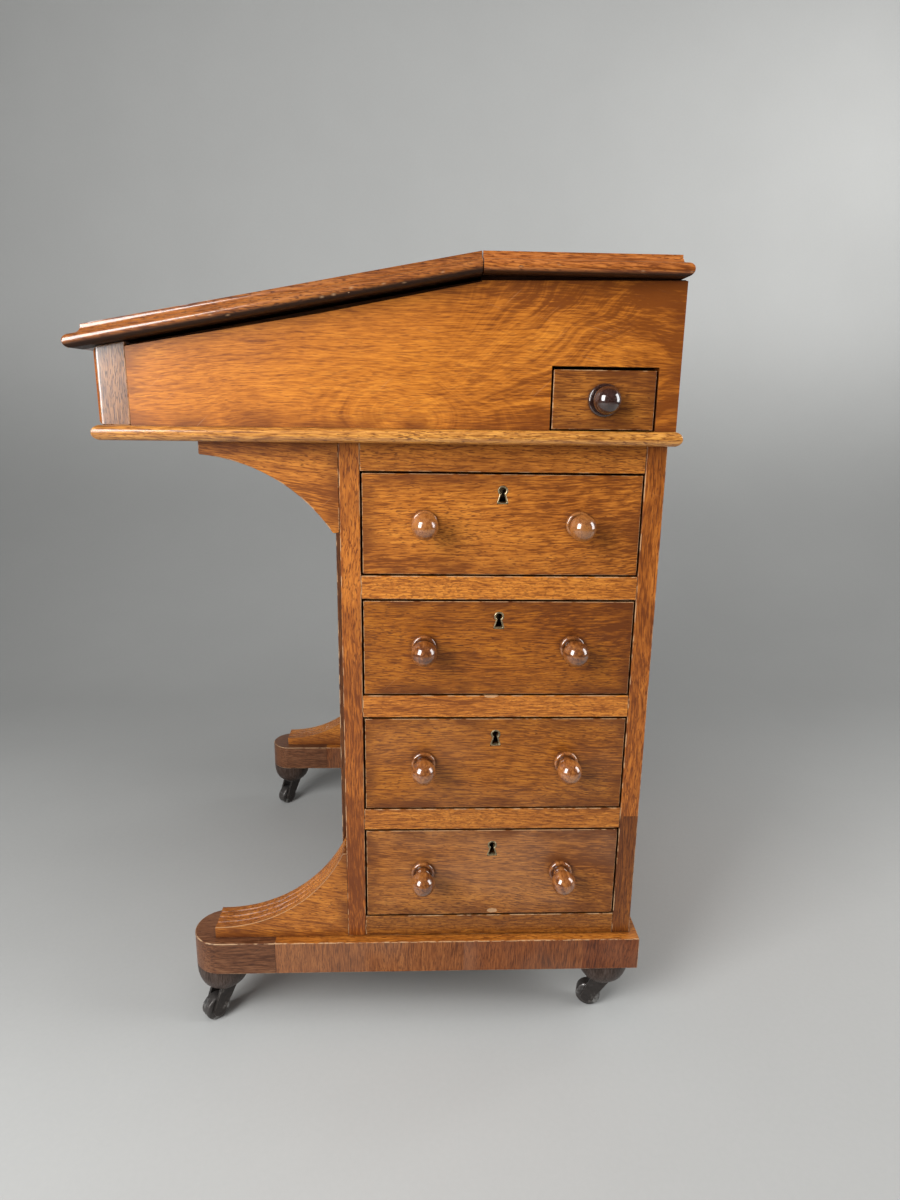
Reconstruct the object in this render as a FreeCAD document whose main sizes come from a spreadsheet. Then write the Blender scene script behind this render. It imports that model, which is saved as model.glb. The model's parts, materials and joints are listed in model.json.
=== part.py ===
# Davenport desk: a small writing desk with a sloping lid over a shallow box, carried by a narrow
# pedestal of four side drawers that stands on two long feet with casters.
#
# The desk stands on z = 0. X runs across the desk, with the drawers opening towards +X; Y runs from
# the sitter (-Y) to the back (+Y); the origin is under the middle of the desk. All sizes are in mm.

import FreeCAD
import Part
import math
import os

import Sketcher

# ---------------------------------------------------------------------------------------------
# Driving sizes: one sheet cell each.
# ---------------------------------------------------------------------------------------------

SIZES = {
    # Whole desk
    "desk_height": 841.0,
    "desk_depth": 572.0,
    # Casters
    "foot_underside_height": 75.0,
    "wheel_diameter": 29.0,
    "wheel_width": 14.0,
    "wheel_edge_round": 2.0,
    "axle_diameter": 5.0,
    "running_clearance": 0.05,
    "swivel_trail": 14.0,
    "bun_top_diameter": 60.0,
    "bun_waist_diameter": 32.0,
    "bun_height": 30.5,
    "bun_rim_height": 5.0,
    "fork_plate_thickness": 3.0,
    "fork_plate_radius": 15.0,
    "fork_cheek_thickness": 3.0,
    "fork_wheel_gap": 0.7,
    "fork_bun_gap": 0.3,
    "fork_eye_radius": 8.0,
    "swivel_pin_diameter": 8.0,
    "swivel_pin_length": 16.0,
    "swivel_socket_gap": 1.0,
    "caster_inset_front": 30.0,
    "caster_inset_back": 33.5,
    # Feet and plinth
    "plinth_width": 579.0,
    "foot_width": 64.0,
    "foot_height": 39.5,
    "foot_length": 511.5,
    "plinth_rail_depth": 22.0,
    "plinth_rail_height": 30.0,
    "plinth_rail_setback": 14.0,
    "dust_board_thickness": 8.0,
    # Pedestal
    "pedestal_width": 555.0,
    "pedestal_depth": 324.5,
    "pedestal_back_margin": 9.5,
    "pedestal_height": 555.5,
    "stile_width": 20.5,
    "stile_depth": 38.0,
    "bottom_rail_height": 25.5,
    "drawer_rail_height": 24.6,
    "opening_height_1": 105.2,
    "opening_height_2": 105.0,
    "opening_height_3": 108.3,
    "opening_height_4": 109.7,
    "front_panel_thickness": 20.0,
    "front_panel_proud": 8.0,
    "back_panel_thickness": 12.0,
    "back_panel_recess": 6.5,
    "runner_width": 20.0,
    "runner_height": 12.0,
    # Brackets
    "upper_bracket_reach": 135.0,
    "upper_bracket_drop": 90.0,
    "upper_bracket_nose": 13.5,
    "upper_bracket_tip": 7.0,
    "upper_bracket_radius": 169.0,
    "lower_bracket_reach": 150.0,
    "lower_bracket_rise": 105.0,
    "lower_bracket_nose": 12.5,
    "lower_bracket_tip": 4.0,
    "lower_bracket_radius": 157.0,
    "reed_diameter": 5.0,
    "reed_spacing": 9.5,
    "reed_depth": 1.5,
    # Writing box
    "box_width": 597.0,
    "box_depth": 544.0,
    "box_bottom_thickness": 14.0,
    "box_bottom_overhang": 6.0,
    "box_side_thickness": 18.0,
    "box_front_thickness": 30.0,
    "box_back_thickness": 12.0,
    "top_thickness": 20.0,
    "top_overhang": 18.0,
    "top_board_depth": 189.5,
    "mould_torus_height": 12.4,
    "mould_inset": 14.5,
    "mould_cove_margin": 0.6,
    "fillet_margin": 0.1,
    "slope_angle": 10.7,
    "lid_side_gap": 3.0,
    "lid_rest_gap": 0.3,
    "ridge_gap": 1.0,
    # Hinges, lock and writing surface
    "hinge_length": 50.0,
    "hinge_inset": 90.0,
    "hinge_knuckle_radius": 3.0,
    "hinge_pin_radius": 1.25,
    "hinge_leaf_thickness": 1.6,
    "hinge_leaf_drop": 15.0,
    "hinge_joint_gap": 0.4,
    "hinge_mortise_gap": 0.3,
    "leather_margin": 55.0,
    "leather_hinge_margin": 45.0,
    "leather_thickness": 1.2,
    "lock_width": 62.0,
    "lock_height": 34.0,
    "lock_thickness": 12.0,
    # Pen drawer
    "pen_opening_width": 101.5,
    "pen_opening_height": 59.0,
    "pen_opening_back_margin": 20.5,
    "pen_housing_length": 260.0,
    "pen_housing_wall": 10.0,
    "pen_housing_top_thickness": 7.0,
    "pen_guide_height": 20.0,
    "pen_drawer_length": 236.0,
    "pen_front_thickness": 16.0,
    "pen_front_top_gap": 2.5,
    "pen_knob_disc_radius": 15.5,
    "pen_knob_disc_height": 4.0,
    "pen_knob_ball_radius": 13.0,
    "pen_knob_projection": 27.6,
    "pen_knob_neck_radius": 8.5,
    # Drawers
    "drawer_length": 489.0,
    "drawer_front_thickness": 20.0,
    "drawer_front_gap": 1.5,
    "drawer_running_gap": 0.6,
    "drawer_side_thickness": 9.0,
    "drawer_side_gap": 1.0,
    "drawer_bottom_thickness": 6.0,
    "drawer_bottom_raise": 6.0,
    "drawer_top_gap": 8.0,
    "knob_spacing": 155.0,
    "knob_raise": 1.5,
    "knob_disc_radius": 13.2,
    "knob_disc_height": 5.0,
    "knob_disc_softness": 2.5,
    "knob_neck_radius": 7.5,
    "knob_ball_radius": 13.2,
    "knob_projection": 36.5,
    "knob_tenon_radius": 5.0,
    "knob_tenon_length": 14.0,
    "keyhole_raise": 34.6,
    "keyhole_round_radius": 5.2,
    "keyhole_foot_half_width": 5.75,
    "keyhole_neck_half_width": 3.4,
    "keyhole_foot_drop": 13.4,
    "keyhole_rim": 1.5,
    "escutcheon_depth": 3.0,
    "drawer_lock_width": 50.0,
    "drawer_lock_height": 32.0,
    "drawer_lock_thickness": 9.0,
}

# Resting directions of the four casters, in degrees from +X: each trails its own way.
CASTER_HEADINGS = {
    "front_right": -48.0,
    "front_left": -40.0,
    "back_right": -108.0,
    "back_left": -152.0,
}

document = FreeCAD.newDocument("davenport_desk")
sheet = document.addObject("Spreadsheet::Sheet", "Sizes")
for row, (alias, number) in enumerate(SIZES.items(), start=1):
    sheet.set(f"A{row}", str(number))
    sheet.setAlias(f"A{row}", alias)
document.recompute()


# ---------------------------------------------------------------------------------------------
# Formulas: a size worked out from the sheet, kept both as expression text and as a number.
# ---------------------------------------------------------------------------------------------


class Formula:
    """A size as an expression on the sheet, with its present value."""

    def __init__(self, text, value):
        self.text = text
        self.value = value

    def __add__(self, other):
        other = as_formula(other)
        return Formula(f"({self.text} + {other.text})", self.value + other.value)

    def __radd__(self, other):
        return as_formula(other) + self

    def __sub__(self, other):
        other = as_formula(other)
        return Formula(f"({self.text} - {other.text})", self.value - other.value)

    def __rsub__(self, other):
        return as_formula(other) - self

    def __mul__(self, other):
        other = as_formula(other)
        return Formula(f"({self.text} * {other.text})", self.value * other.value)

    def __rmul__(self, other):
        return as_formula(other) * self

    def __truediv__(self, other):
        other = as_formula(other)
        return Formula(f"({self.text} / {other.text})", self.value / other.value)

    def __neg__(self):
        return Formula(f"(0 - {self.text})", -self.value)


def as_formula(number):
    """A Formula from a plain number, or the Formula itself."""
    if isinstance(number, Formula):
        return number
    return Formula(repr(float(number)), float(number))


def size(alias):
    """The sheet's cell of that name."""
    return Formula(f"Sizes.{alias}", SIZES[alias])


def sine(angle):
    return Formula(f"sin({angle.text})", math.sin(math.radians(angle.value)))


def cosine(angle):
    return Formula(f"cos({angle.text})", math.cos(math.radians(angle.value)))


def tangent(angle):
    return Formula(f"tan({angle.text})", math.tan(math.radians(angle.value)))


def square_root(square):
    return Formula(f"sqrt({square.text})", math.sqrt(square.value))


ZERO = as_formula(0)

# ---------------------------------------------------------------------------------------------
# Places that several pieces share.
# ---------------------------------------------------------------------------------------------

BACK_Y = size("desk_depth") / 2
FOOT_FRONT_Y = BACK_Y - size("foot_length")
FOOT_TOP_Z = size("foot_underside_height") + size("foot_height")
FOOT_OUTER_X = size("plinth_width") / 2
FOOT_INNER_X = FOOT_OUTER_X - size("foot_width")

PEDESTAL_X = size("pedestal_width") / 2
PEDESTAL_BACK_Y = BACK_Y - size("pedestal_back_margin")
PEDESTAL_FRONT_Y = PEDESTAL_BACK_Y - size("pedestal_depth")
PEDESTAL_TOP_Z = FOOT_TOP_Z + size("pedestal_height")
STILE_INNER_X = PEDESTAL_X - size("stile_depth")
OPENING_FRONT_Y = PEDESTAL_FRONT_Y + size("stile_width")
OPENING_BACK_Y = PEDESTAL_BACK_Y - size("stile_width")
OPENING_MIDDLE_Y = (OPENING_FRONT_Y + OPENING_BACK_Y) / 2
PANEL_FRONT_Y = PEDESTAL_FRONT_Y - size("front_panel_proud")
PANEL_INNER_Y = PANEL_FRONT_Y + size("front_panel_thickness")
BACK_PANEL_INNER_Y = PEDESTAL_BACK_Y - size("back_panel_recess") - size("back_panel_thickness")

BOX_FLOOR_Z = PEDESTAL_TOP_Z + size("box_bottom_thickness")
BOX_X = size("box_width") / 2
BOX_INNER_X = BOX_X - size("box_side_thickness")
BOX_BACK_Y = PEDESTAL_BACK_Y
BOX_FRONT_Y = BOX_BACK_Y - size("box_depth")
BOX_FRONT_INNER_Y = BOX_FRONT_Y + size("box_front_thickness")
BOX_BACK_INNER_Y = BOX_BACK_Y - size("box_back_thickness")
TOP_UNDERSIDE_Z = size("desk_height") - size("top_thickness")
TOP_X = BOX_X + size("top_overhang")
RIDGE_Y = BOX_BACK_Y - size("top_board_depth")
LID_BACK_Y = RIDGE_Y - size("ridge_gap") / 2
TOP_FRONT_Y = RIDGE_Y + size("ridge_gap") / 2
LID_FRONT_Y = -BACK_Y
MOULD_STEP = size("top_thickness") - size("mould_torus_height")

PEN_OPENING_BACK_Y = BOX_BACK_Y - size("pen_opening_back_margin")
PEN_OPENING_FRONT_Y = PEN_OPENING_BACK_Y - size("pen_opening_width")
PEN_OPENING_TOP_Z = BOX_FLOOR_Z + size("pen_opening_height")

OPENING_HEIGHTS = [size(f"opening_height_{number}") for number in (1, 2, 3, 4)]


def opening_bottoms():
    """The height of each drawer opening's floor, from the top drawer down."""
    bottoms = []
    floor = FOOT_TOP_Z + size("bottom_rail_height")
    for height in reversed(OPENING_HEIGHTS):
        bottoms.insert(0, floor)
        floor = floor + height + size("drawer_rail_height")
    return bottoms


OPENING_BOTTOMS = opening_bottoms()
OPENINGS_TOP_Z = OPENING_BOTTOMS[0] + OPENING_HEIGHTS[0]


def slope_height(y, depth):
    """Height of the line that lies depth below the lid's top surface, at a place y."""
    angle = size("slope_angle")
    return size("desk_height") - (RIDGE_Y - y) * tangent(angle) - depth / cosine(angle)


def slope_point(distance, depth):
    """(y, z) of the point at a distance down the slope from the ridge and depth below the top."""
    angle = size("slope_angle")
    y = RIDGE_Y - distance * cosine(angle) + depth * sine(angle)
    z = size("desk_height") - distance * sine(angle) - depth * cosine(angle)
    return (y, z)


# The lid's nose stands furthest forward halfway down its lower, rounded half.
NOSE_DEPTH = MOULD_STEP + size("mould_torus_height") / 2
LID_LENGTH = (RIDGE_Y - LID_FRONT_Y + NOSE_DEPTH * sine(size("slope_angle"))) / cosine(size("slope_angle"))

# ---------------------------------------------------------------------------------------------
# Ways of making a piece.
# ---------------------------------------------------------------------------------------------

nodes = []
HALF_ROUND = "half round"
TOUCH = 1e-3  # how far apart two places may lie and still count as one


def keep(piece, label):
    """Name a finished piece and add it to the list of nodes."""
    piece.Label = label
    nodes.append(piece)
    return piece


def bind(target, prop, formula):
    target.setExpression(prop, as_formula(formula).text)


def place(target, x=ZERO, y=ZERO, z=ZERO, axis=None, angle=ZERO):
    """Bind a piece's Placement to the sheet: a turn about an axis, then a move."""
    if axis is not None:
        turn = FreeCAD.Rotation(FreeCAD.Vector(*axis), as_formula(angle).value)
        target.Placement = FreeCAD.Placement(FreeCAD.Vector(0, 0, 0), turn)
        bind(target, ".Placement.Rotation.Angle", angle)
    bind(target, ".Placement.Base.x", x)
    bind(target, ".Placement.Base.y", y)
    bind(target, ".Placement.Base.z", z)


def board(name, low, high):
    """A square-edged board between two opposite corners."""
    piece = document.addObject("Part::Box", name)
    for prop, start, end in zip(("Length", "Width", "Height"), low, high):
        bind(piece, prop, as_formula(end) - start)
    place(piece, *low)
    return piece


def mirrored_board(name, low, high):
    """The same board on the other side of the desk."""
    return board(name, (-as_formula(high[0]), low[1], low[2]), (-as_formula(low[0]), high[1], high[2]))


def group(label, pieces):
    """One node that holds several separate solids."""
    compound = document.addObject("Part::Compound", label)
    compound.Links = pieces
    return keep(compound, label)


def rod(name, radius, length, x=ZERO, y=ZERO, z=ZERO, axis=None, angle=ZERO):
    piece = document.addObject("Part::Cylinder", name)
    bind(piece, "Radius", radius)
    bind(piece, "Height", length)
    place(piece, x, y, z, axis, angle)
    return piece


def cut(name, base, tool):
    piece = document.addObject("Part::Cut", name)
    piece.Base = base
    piece.Tool = tool
    return piece


def fuse(name, pieces):
    piece = document.addObject("Part::MultiFuse", name)
    piece.Shapes = pieces
    return piece


def origin_plane(body, role):
    """One of a body's own origin planes, such as XY_Plane."""
    for feature in body.Origin.OriginFeatures:
        if feature.Role == role:
            return feature
    raise LookupError(role)


def sketch_on(body, role, name, offset=ZERO):
    """An empty sketch on one of the body's planes, moved along the plane's normal."""
    sketch = body.newObject("Sketcher::SketchObject", name)
    sketch.AttachmentSupport = [(origin_plane(body, role), "")]
    sketch.MapMode = "FlatFace"
    bind(sketch, ".AttachmentOffset.Base.z", offset)
    return sketch


def fix_point(sketch, edge, end, point):
    """Hold one end of a sketch line at a place given by two formulas."""
    for kind, formula in zip(("DistanceX", "DistanceY"), point):
        formula = as_formula(formula)
        index = sketch.addConstraint(Sketcher.Constraint(kind, -1, 1, edge, end, formula.value))
        sketch.setExpression(f"Constraints[{index}]", formula.text)


def arc_between(start, end, radius, left):
    """A circular arc from start to end, its centre on the left or the right of the way there."""
    middle = (start + end) * 0.5
    along = end - start
    across = FreeCAD.Vector(-along.y, along.x, 0)
    across.normalize()
    reach = math.sqrt(max(radius**2 - (along.Length / 2) ** 2, 0.0))
    centre = middle + across * (reach if left else -reach)
    first, last = (start, end) if left else (end, start)
    first_angle = math.atan2(first.y - centre.y, first.x - centre.x)
    last_angle = math.atan2(last.y - centre.y, last.x - centre.x)
    circle = Part.Circle(centre, FreeCAD.Vector(0, 0, 1), radius)
    return Part.ArcOfCircle(circle, first_angle, last_angle)


def draw_outline(sketch, steps):
    """Close an outline through the steps' points.

    Each step is (point, None) for a straight edge to the next point, or (point, (radius, left))
    for an arc to it, with its centre on the left or right of the way. A HALF_ROUND radius makes a
    half circle between two points at the same height, with its centre midway.
    """
    corners = [FreeCAD.Vector(as_formula(p[0]).value, as_formula(p[1]).value, 0) for p, _ in steps]
    ends = []
    for number, (_, bend) in enumerate(steps):
        start = corners[number]
        end = corners[(number + 1) % len(steps)]
        if bend is None:
            edge = sketch.addGeometry(Part.LineSegment(start, end), False)
            ends.append((edge, 1, 2))
            continue
        radius, left = bend
        radius_now = (end - start).Length / 2 if radius is HALF_ROUND else radius.value
        edge = sketch.addGeometry(arc_between(start, end, radius_now, left), False)
        if radius is HALF_ROUND:
            level = as_formula(steps[number][0][1])
            index = sketch.addConstraint(Sketcher.Constraint("DistanceY", -1, 1, edge, 3, level.value))
            sketch.setExpression(f"Constraints[{index}]", level.text)
        else:
            index = sketch.addConstraint(Sketcher.Constraint("Radius", edge, radius_now))
            sketch.setExpression(f"Constraints[{index}]", radius.text)
        ends.append((edge, 1, 2) if left else (edge, 2, 1))
    for number, (edge, first, _) in enumerate(ends):
        before, _, last = ends[number - 1]
        sketch.addConstraint(Sketcher.Constraint("Coincident", before, last, edge, first))
        fix_point(sketch, edge, first, steps[number][0])


def straight(*points):
    """The steps of an outline with straight edges only."""
    return [(point, None) for point in points]


def pad(body, sketch, length, name):
    feature = body.newObject("PartDesign::Pad", name)
    feature.Profile = sketch
    bind(feature, "Length", length)
    sketch.Visibility = False
    body.Tip = feature
    return feature


def pocket(body, sketch, length, name):
    """Cut a sketch into the body, against the sketch plane's normal."""
    feature = body.newObject("PartDesign::Pocket", name)
    feature.Profile = sketch
    bind(feature, "Length", length)
    sketch.Visibility = False
    body.Tip = feature
    return feature


def side_profile(name, steps, start_x, width):
    """A body padded across the desk from an outline in Y and Z."""
    body = document.addObject("PartDesign::Body", name)
    sketch = sketch_on(body, "YZ_Plane", f"{name}_outline")
    draw_outline(sketch, steps)
    pad(body, sketch, width, f"{name}_pad")
    place(body, x=start_x)
    return body


def turned(name, steps):
    """A body turned about its own Z axis from an outline in radius and height."""
    body = document.addObject("PartDesign::Body", name)
    sketch = sketch_on(body, "XZ_Plane", f"{name}_outline")
    draw_outline(sketch, steps)
    feature = body.newObject("PartDesign::Revolution", f"{name}_turning")
    feature.Profile = sketch
    feature.ReferenceAxis = (sketch, ["V_Axis"])
    feature.Angle = 360.0
    sketch.Visibility = False
    body.Tip = feature
    return body


def fillet_where(body, base, radius, name, chosen):
    """Round the edges of a feature that the test chosen picks."""
    document.recompute()
    names = [f"Edge{i}" for i, edge in enumerate(base.Shape.Edges, start=1) if chosen(edge)]
    feature = body.newObject("PartDesign::Fillet", name)
    feature.Base = (base, names)
    bind(feature, "Radius", radius)
    body.Tip = feature
    return feature


# ---------------------------------------------------------------------------------------------
# Casters
# ---------------------------------------------------------------------------------------------

WHEEL_RADIUS = size("wheel_diameter") / 2
AXLE_RADIUS = size("axle_diameter") / 2
BUN_BOTTOM_Z = size("foot_underside_height") - size("bun_height")
FORK_TOP_Z = BUN_BOTTOM_Z - size("fork_bun_gap")
CHEEK_INNER = size("wheel_width") / 2 + size("fork_wheel_gap")
CHEEK_OUTER = CHEEK_INNER + size("fork_cheek_thickness")
CASTER_X = FOOT_OUTER_X - size("foot_width") / 2
CASTER_PLACES = {
    "front_right": (CASTER_X, FOOT_FRONT_Y + size("caster_inset_front")),
    "front_left": (-CASTER_X, FOOT_FRONT_Y + size("caster_inset_front")),
    "back_right": (CASTER_X, BACK_Y - size("caster_inset_back")),
    "back_left": (-CASTER_X, BACK_Y - size("caster_inset_back")),
}


def bun(place_name):
    """A turned bun with a blind socket for the caster's pin."""
    socket = size("swivel_pin_diameter") / 2 + size("running_clearance")
    socket_depth = size("swivel_pin_length") + size("swivel_socket_gap")
    top = size("bun_top_diameter") / 2
    waist = size("bun_waist_diameter") / 2
    shoulder = size("bun_height") - size("bun_rim_height")
    steps = [
        ((socket, ZERO), None),
        ((waist, ZERO), (size("bun_height"), True)),
        ((top, shoulder), None),
        ((top, size("bun_height")), None),
        ((ZERO, size("bun_height")), None),
        ((ZERO, socket_depth), None),
        ((socket, socket_depth), None),
    ]
    body = turned(f"bun_{place_name}", steps)
    x, y = CASTER_PLACES[place_name]
    place(body, x, y, BUN_BOTTOM_Z)
    return body


def fork(place_name):
    """A fork: a round plate with its swivel pin and two cheeks that hold the wheel's axle."""
    plate_bottom = FORK_TOP_Z - size("fork_plate_thickness")
    eye = size("fork_eye_radius")
    trail = size("swivel_trail")
    reach = size("fork_plate_radius")
    parts = [
        rod(f"fork_plate_{place_name}", reach, size("fork_plate_thickness"), z=plate_bottom),
        rod(
            f"fork_pin_{place_name}",
            size("swivel_pin_diameter") / 2,
            size("swivel_pin_length") + size("fork_bun_gap") + size("fork_plate_thickness"),
            z=plate_bottom,
        ),
    ]
    # A cheek hangs from the plate and tapers to a round eye at the axle.
    top = square_root(reach * reach - CHEEK_OUTER * CHEEK_OUTER)
    steps = [
        ((-top, plate_bottom + size("fork_plate_thickness") / 2), None),
        ((-top, plate_bottom), None),
        ((trail - eye, WHEEL_RADIUS), (HALF_ROUND, True)),
        ((trail + eye, WHEEL_RADIUS), None),
        ((top, plate_bottom + size("fork_plate_thickness") / 2), None),
    ]
    for side, start in (("a", CHEEK_INNER), ("b", -CHEEK_OUTER)):
        cheek = document.addObject("PartDesign::Body", f"fork_cheek_{side}_{place_name}")
        # The sketch plane's normal is -Y, so the cheek is padded towards -Y from its far face.
        sketch = sketch_on(cheek, "XZ_Plane", f"fork_cheek_{side}_{place_name}_outline")
        draw_outline(sketch, steps)
        pad(cheek, sketch, size("fork_cheek_thickness"), f"fork_cheek_{side}_{place_name}_pad")
        place(cheek, y=start + size("fork_cheek_thickness"))
        parts.append(cheek)
    frame = fuse(f"fork_frame_{place_name}", parts)
    axle_hole = rod(
        f"fork_axle_hole_{place_name}",
        AXLE_RADIUS,
        2 * CHEEK_OUTER,
        x=trail,
        y=CHEEK_OUTER,
        z=WHEEL_RADIUS,
        axis=(1, 0, 0),
        angle=90,
    )
    drilled = cut(f"fork_drilled_{place_name}", frame, axle_hole)
    axle = rod(
        f"axle_{place_name}",
        AXLE_RADIUS,
        2 * CHEEK_OUTER,
        x=trail,
        y=CHEEK_OUTER,
        z=WHEEL_RADIUS,
        axis=(1, 0, 0),
        angle=90,
    )
    return [drilled, axle]


def wheel(place_name):
    """A plain iron wheel with softened rims, bored for the axle."""
    bore = AXLE_RADIUS + size("running_clearance")
    half = size("wheel_width") / 2
    soft = size("wheel_edge_round")
    steps = [
        ((bore, -half), None),
        ((WHEEL_RADIUS - soft, -half), (soft, True)),
        ((WHEEL_RADIUS, soft - half), None),
        ((WHEEL_RADIUS, half - soft), (soft, True)),
        ((WHEEL_RADIUS - soft, half), None),
        ((bore, half), None),
    ]
    body = turned(f"wheel_blank_{place_name}", steps)
    place(body, size("swivel_trail"), ZERO, WHEEL_RADIUS, (1, 0, 0), as_formula(90))
    return body


def swing(pieces, label, place_name):
    """Group a caster's pieces, turn them to the way they trail and set them under their bun."""
    compound = group(label, pieces)
    x, y = CASTER_PLACES[place_name]
    place(compound, x, y, ZERO, (0, 0, 1), as_formula(CASTER_HEADINGS[place_name]))
    return compound


def casters():
    group("caster_buns", [bun(place_name) for place_name in CASTER_PLACES])
    for place_name in CASTER_PLACES:
        swing(fork(place_name), f"caster_fork_{place_name}", place_name)
        swing([wheel(place_name)], f"caster_wheel_{place_name}", place_name)


# ---------------------------------------------------------------------------------------------
# Feet and plinth
# ---------------------------------------------------------------------------------------------


def foot(label, start_x):
    """A long foot with a half-round nose, seen from above."""
    body = document.addObject("PartDesign::Body", label)
    sketch = sketch_on(body, "XY_Plane", f"{label}_outline")
    half = size("foot_width") / 2
    steps = [
        ((-half, FOOT_FRONT_Y + half), (HALF_ROUND, True)),
        ((half, FOOT_FRONT_Y + half), None),
        ((half, BACK_Y), None),
        ((-half, BACK_Y), None),
    ]
    draw_outline(sketch, steps)
    pad(body, sketch, size("foot_height"), f"{label}_pad")
    place(body, start_x, ZERO, size("foot_underside_height"))
    return keep(body, label)


def plinth():
    foot("foot_right", CASTER_X)
    foot("foot_left", -CASTER_X)
    low = FOOT_TOP_Z - size("plinth_rail_height")
    front = PEDESTAL_FRONT_Y + size("plinth_rail_setback")
    back = BACK_Y - size("plinth_rail_setback")
    rails = [
        board(
            "plinth_rail_front",
            (-FOOT_INNER_X, front, low),
            (FOOT_INNER_X, front + size("plinth_rail_depth"), FOOT_TOP_Z),
        ),
        board(
            "plinth_rail_back",
            (-FOOT_INNER_X, back - size("plinth_rail_depth"), low),
            (FOOT_INNER_X, back, FOOT_TOP_Z),
        ),
    ]
    group("plinth_rails", rails)


# ---------------------------------------------------------------------------------------------
# Pedestal carcase
# ---------------------------------------------------------------------------------------------


def stile(name, side, low_y, high_y):
    maker = board if side == "right" else mirrored_board
    return maker(name, (STILE_INNER_X, low_y, FOOT_TOP_Z), (PEDESTAL_X, high_y, PEDESTAL_TOP_Z))


def rail(name, side, low_z, high_z):
    maker = board if side == "right" else mirrored_board
    return maker(name, (STILE_INNER_X, OPENING_FRONT_Y, low_z), (PEDESTAL_X, OPENING_BACK_Y, high_z))


def rail_heights():
    """Bottom and top of each rail: the bottom one, the three between the drawers, the top one."""
    spans = [(FOOT_TOP_Z, OPENING_BOTTOMS[3])]
    for number in (3, 2, 1):
        spans.append((OPENING_BOTTOMS[number] + OPENING_HEIGHTS[number], OPENING_BOTTOMS[number - 1]))
    spans.append((OPENINGS_TOP_Z, PEDESTAL_TOP_Z))
    return spans


def pedestal_frame():
    keep(stile("stile_front", "right", PEDESTAL_FRONT_Y, OPENING_FRONT_Y), "stile_front_right")
    keep(stile("stile_back", "right", OPENING_BACK_Y, PEDESTAL_BACK_Y), "stile_back_right")
    left_stiles = [
        stile("stile_left_a", "left", PEDESTAL_FRONT_Y, OPENING_FRONT_Y),
        stile("stile_left_b", "left", OPENING_BACK_Y, PEDESTAL_BACK_Y),
    ]
    group("stiles_left", left_stiles)
    *lower_spans, top_span = rail_heights()
    lower_rails = [rail(f"rail_right_{n}", "right", *span) for n, span in enumerate(lower_spans, start=1)]
    group("drawer_rails_right", lower_rails)
    keep(rail("rail_right_top", "right", *top_span), "top_rail_right")
    left_rails = [rail(f"rail_left_{n}", "left", *span) for n, span in enumerate(rail_heights(), start=1)]
    group("rails_left", left_rails)


def pedestal_panels():
    low = (-STILE_INNER_X, PANEL_FRONT_Y, FOOT_TOP_Z)
    high = (STILE_INNER_X, PANEL_INNER_Y, PEDESTAL_TOP_Z)
    keep(board("front_panel", low, high), "pedestal_front_panel")
    low = (-STILE_INNER_X, BACK_PANEL_INNER_Y, FOOT_TOP_Z)
    high = (
        STILE_INNER_X,
        BACK_PANEL_INNER_Y + size("back_panel_thickness"),
        PEDESTAL_TOP_Z,
    )
    keep(board("back_panel", low, high), "pedestal_back_panel")
    low = (-STILE_INNER_X, PANEL_INNER_Y, FOOT_TOP_Z)
    high = (STILE_INNER_X, BACK_PANEL_INNER_Y, FOOT_TOP_Z + size("dust_board_thickness"))
    keep(board("dust_board_blank", low, high), "dust_board")


def drawer_runners():
    """Two runners for each drawer, level with the floor of its opening."""
    runners = []
    width = size("runner_width")
    for number, floor in enumerate(OPENING_BOTTOMS, start=1):
        for side, start in (("front", PANEL_INNER_Y), ("back", BACK_PANEL_INNER_Y - width)):
            low = (-STILE_INNER_X, start, floor - size("runner_height"))
            high = (STILE_INNER_X, start + width, floor)
            runners.append(board(f"runner_{number}_{side}", low, high))
    group("drawer_runners", runners)


# ---------------------------------------------------------------------------------------------
# Brackets
# ---------------------------------------------------------------------------------------------


def upper_bracket(label, start_x):
    """A concave bracket under the front of the box."""
    front = PEDESTAL_FRONT_Y - size("upper_bracket_reach")
    tip_z = PEDESTAL_TOP_Z - size("upper_bracket_drop")
    steps = [
        ((PEDESTAL_FRONT_Y, PEDESTAL_TOP_Z), None),
        ((front, PEDESTAL_TOP_Z), None),
        ((front, PEDESTAL_TOP_Z - size("upper_bracket_nose")), (size("upper_bracket_radius"), False)),
        ((PEDESTAL_FRONT_Y - size("upper_bracket_tip"), tip_z), None),
        ((PEDESTAL_FRONT_Y, tip_z), None),
    ]
    return keep(side_profile(f"{label}_body", steps, start_x, size("stile_depth")), label)


def reed_cutters(label, start_x, front, top):
    """Rods bent to the bracket's curve that cut three reeds along its face."""
    cutters = []
    radius = size("lower_bracket_radius").value
    start = FreeCAD.Vector(0, front[0].value, front[1].value)
    end = FreeCAD.Vector(0, top[0].value, top[1].value)
    along = end - start
    across = FreeCAD.Vector(0, -along.z, along.y).normalize()
    centre = (start + end) * 0.5 + across * math.sqrt(radius**2 - (along.Length / 2) ** 2)
    lift = size("reed_diameter").value / 2 - size("reed_depth").value
    for number in (-1, 0, 1):
        cutter = document.addObject("Part::Feature", f"{label}_reed_{number + 2}")
        middle_x = start_x.value + size("stile_depth").value / 2 + number * size("reed_spacing").value
        torus = Part.makeTorus(
            radius - lift,
            size("reed_diameter").value / 2,
            FreeCAD.Vector(middle_x, centre.y, centre.z),
            FreeCAD.Vector(1, 0, 0),
        )
        cutter.Shape = torus
        cutters.append(cutter)
    return fuse(f"{label}_reeds", cutters)


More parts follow.
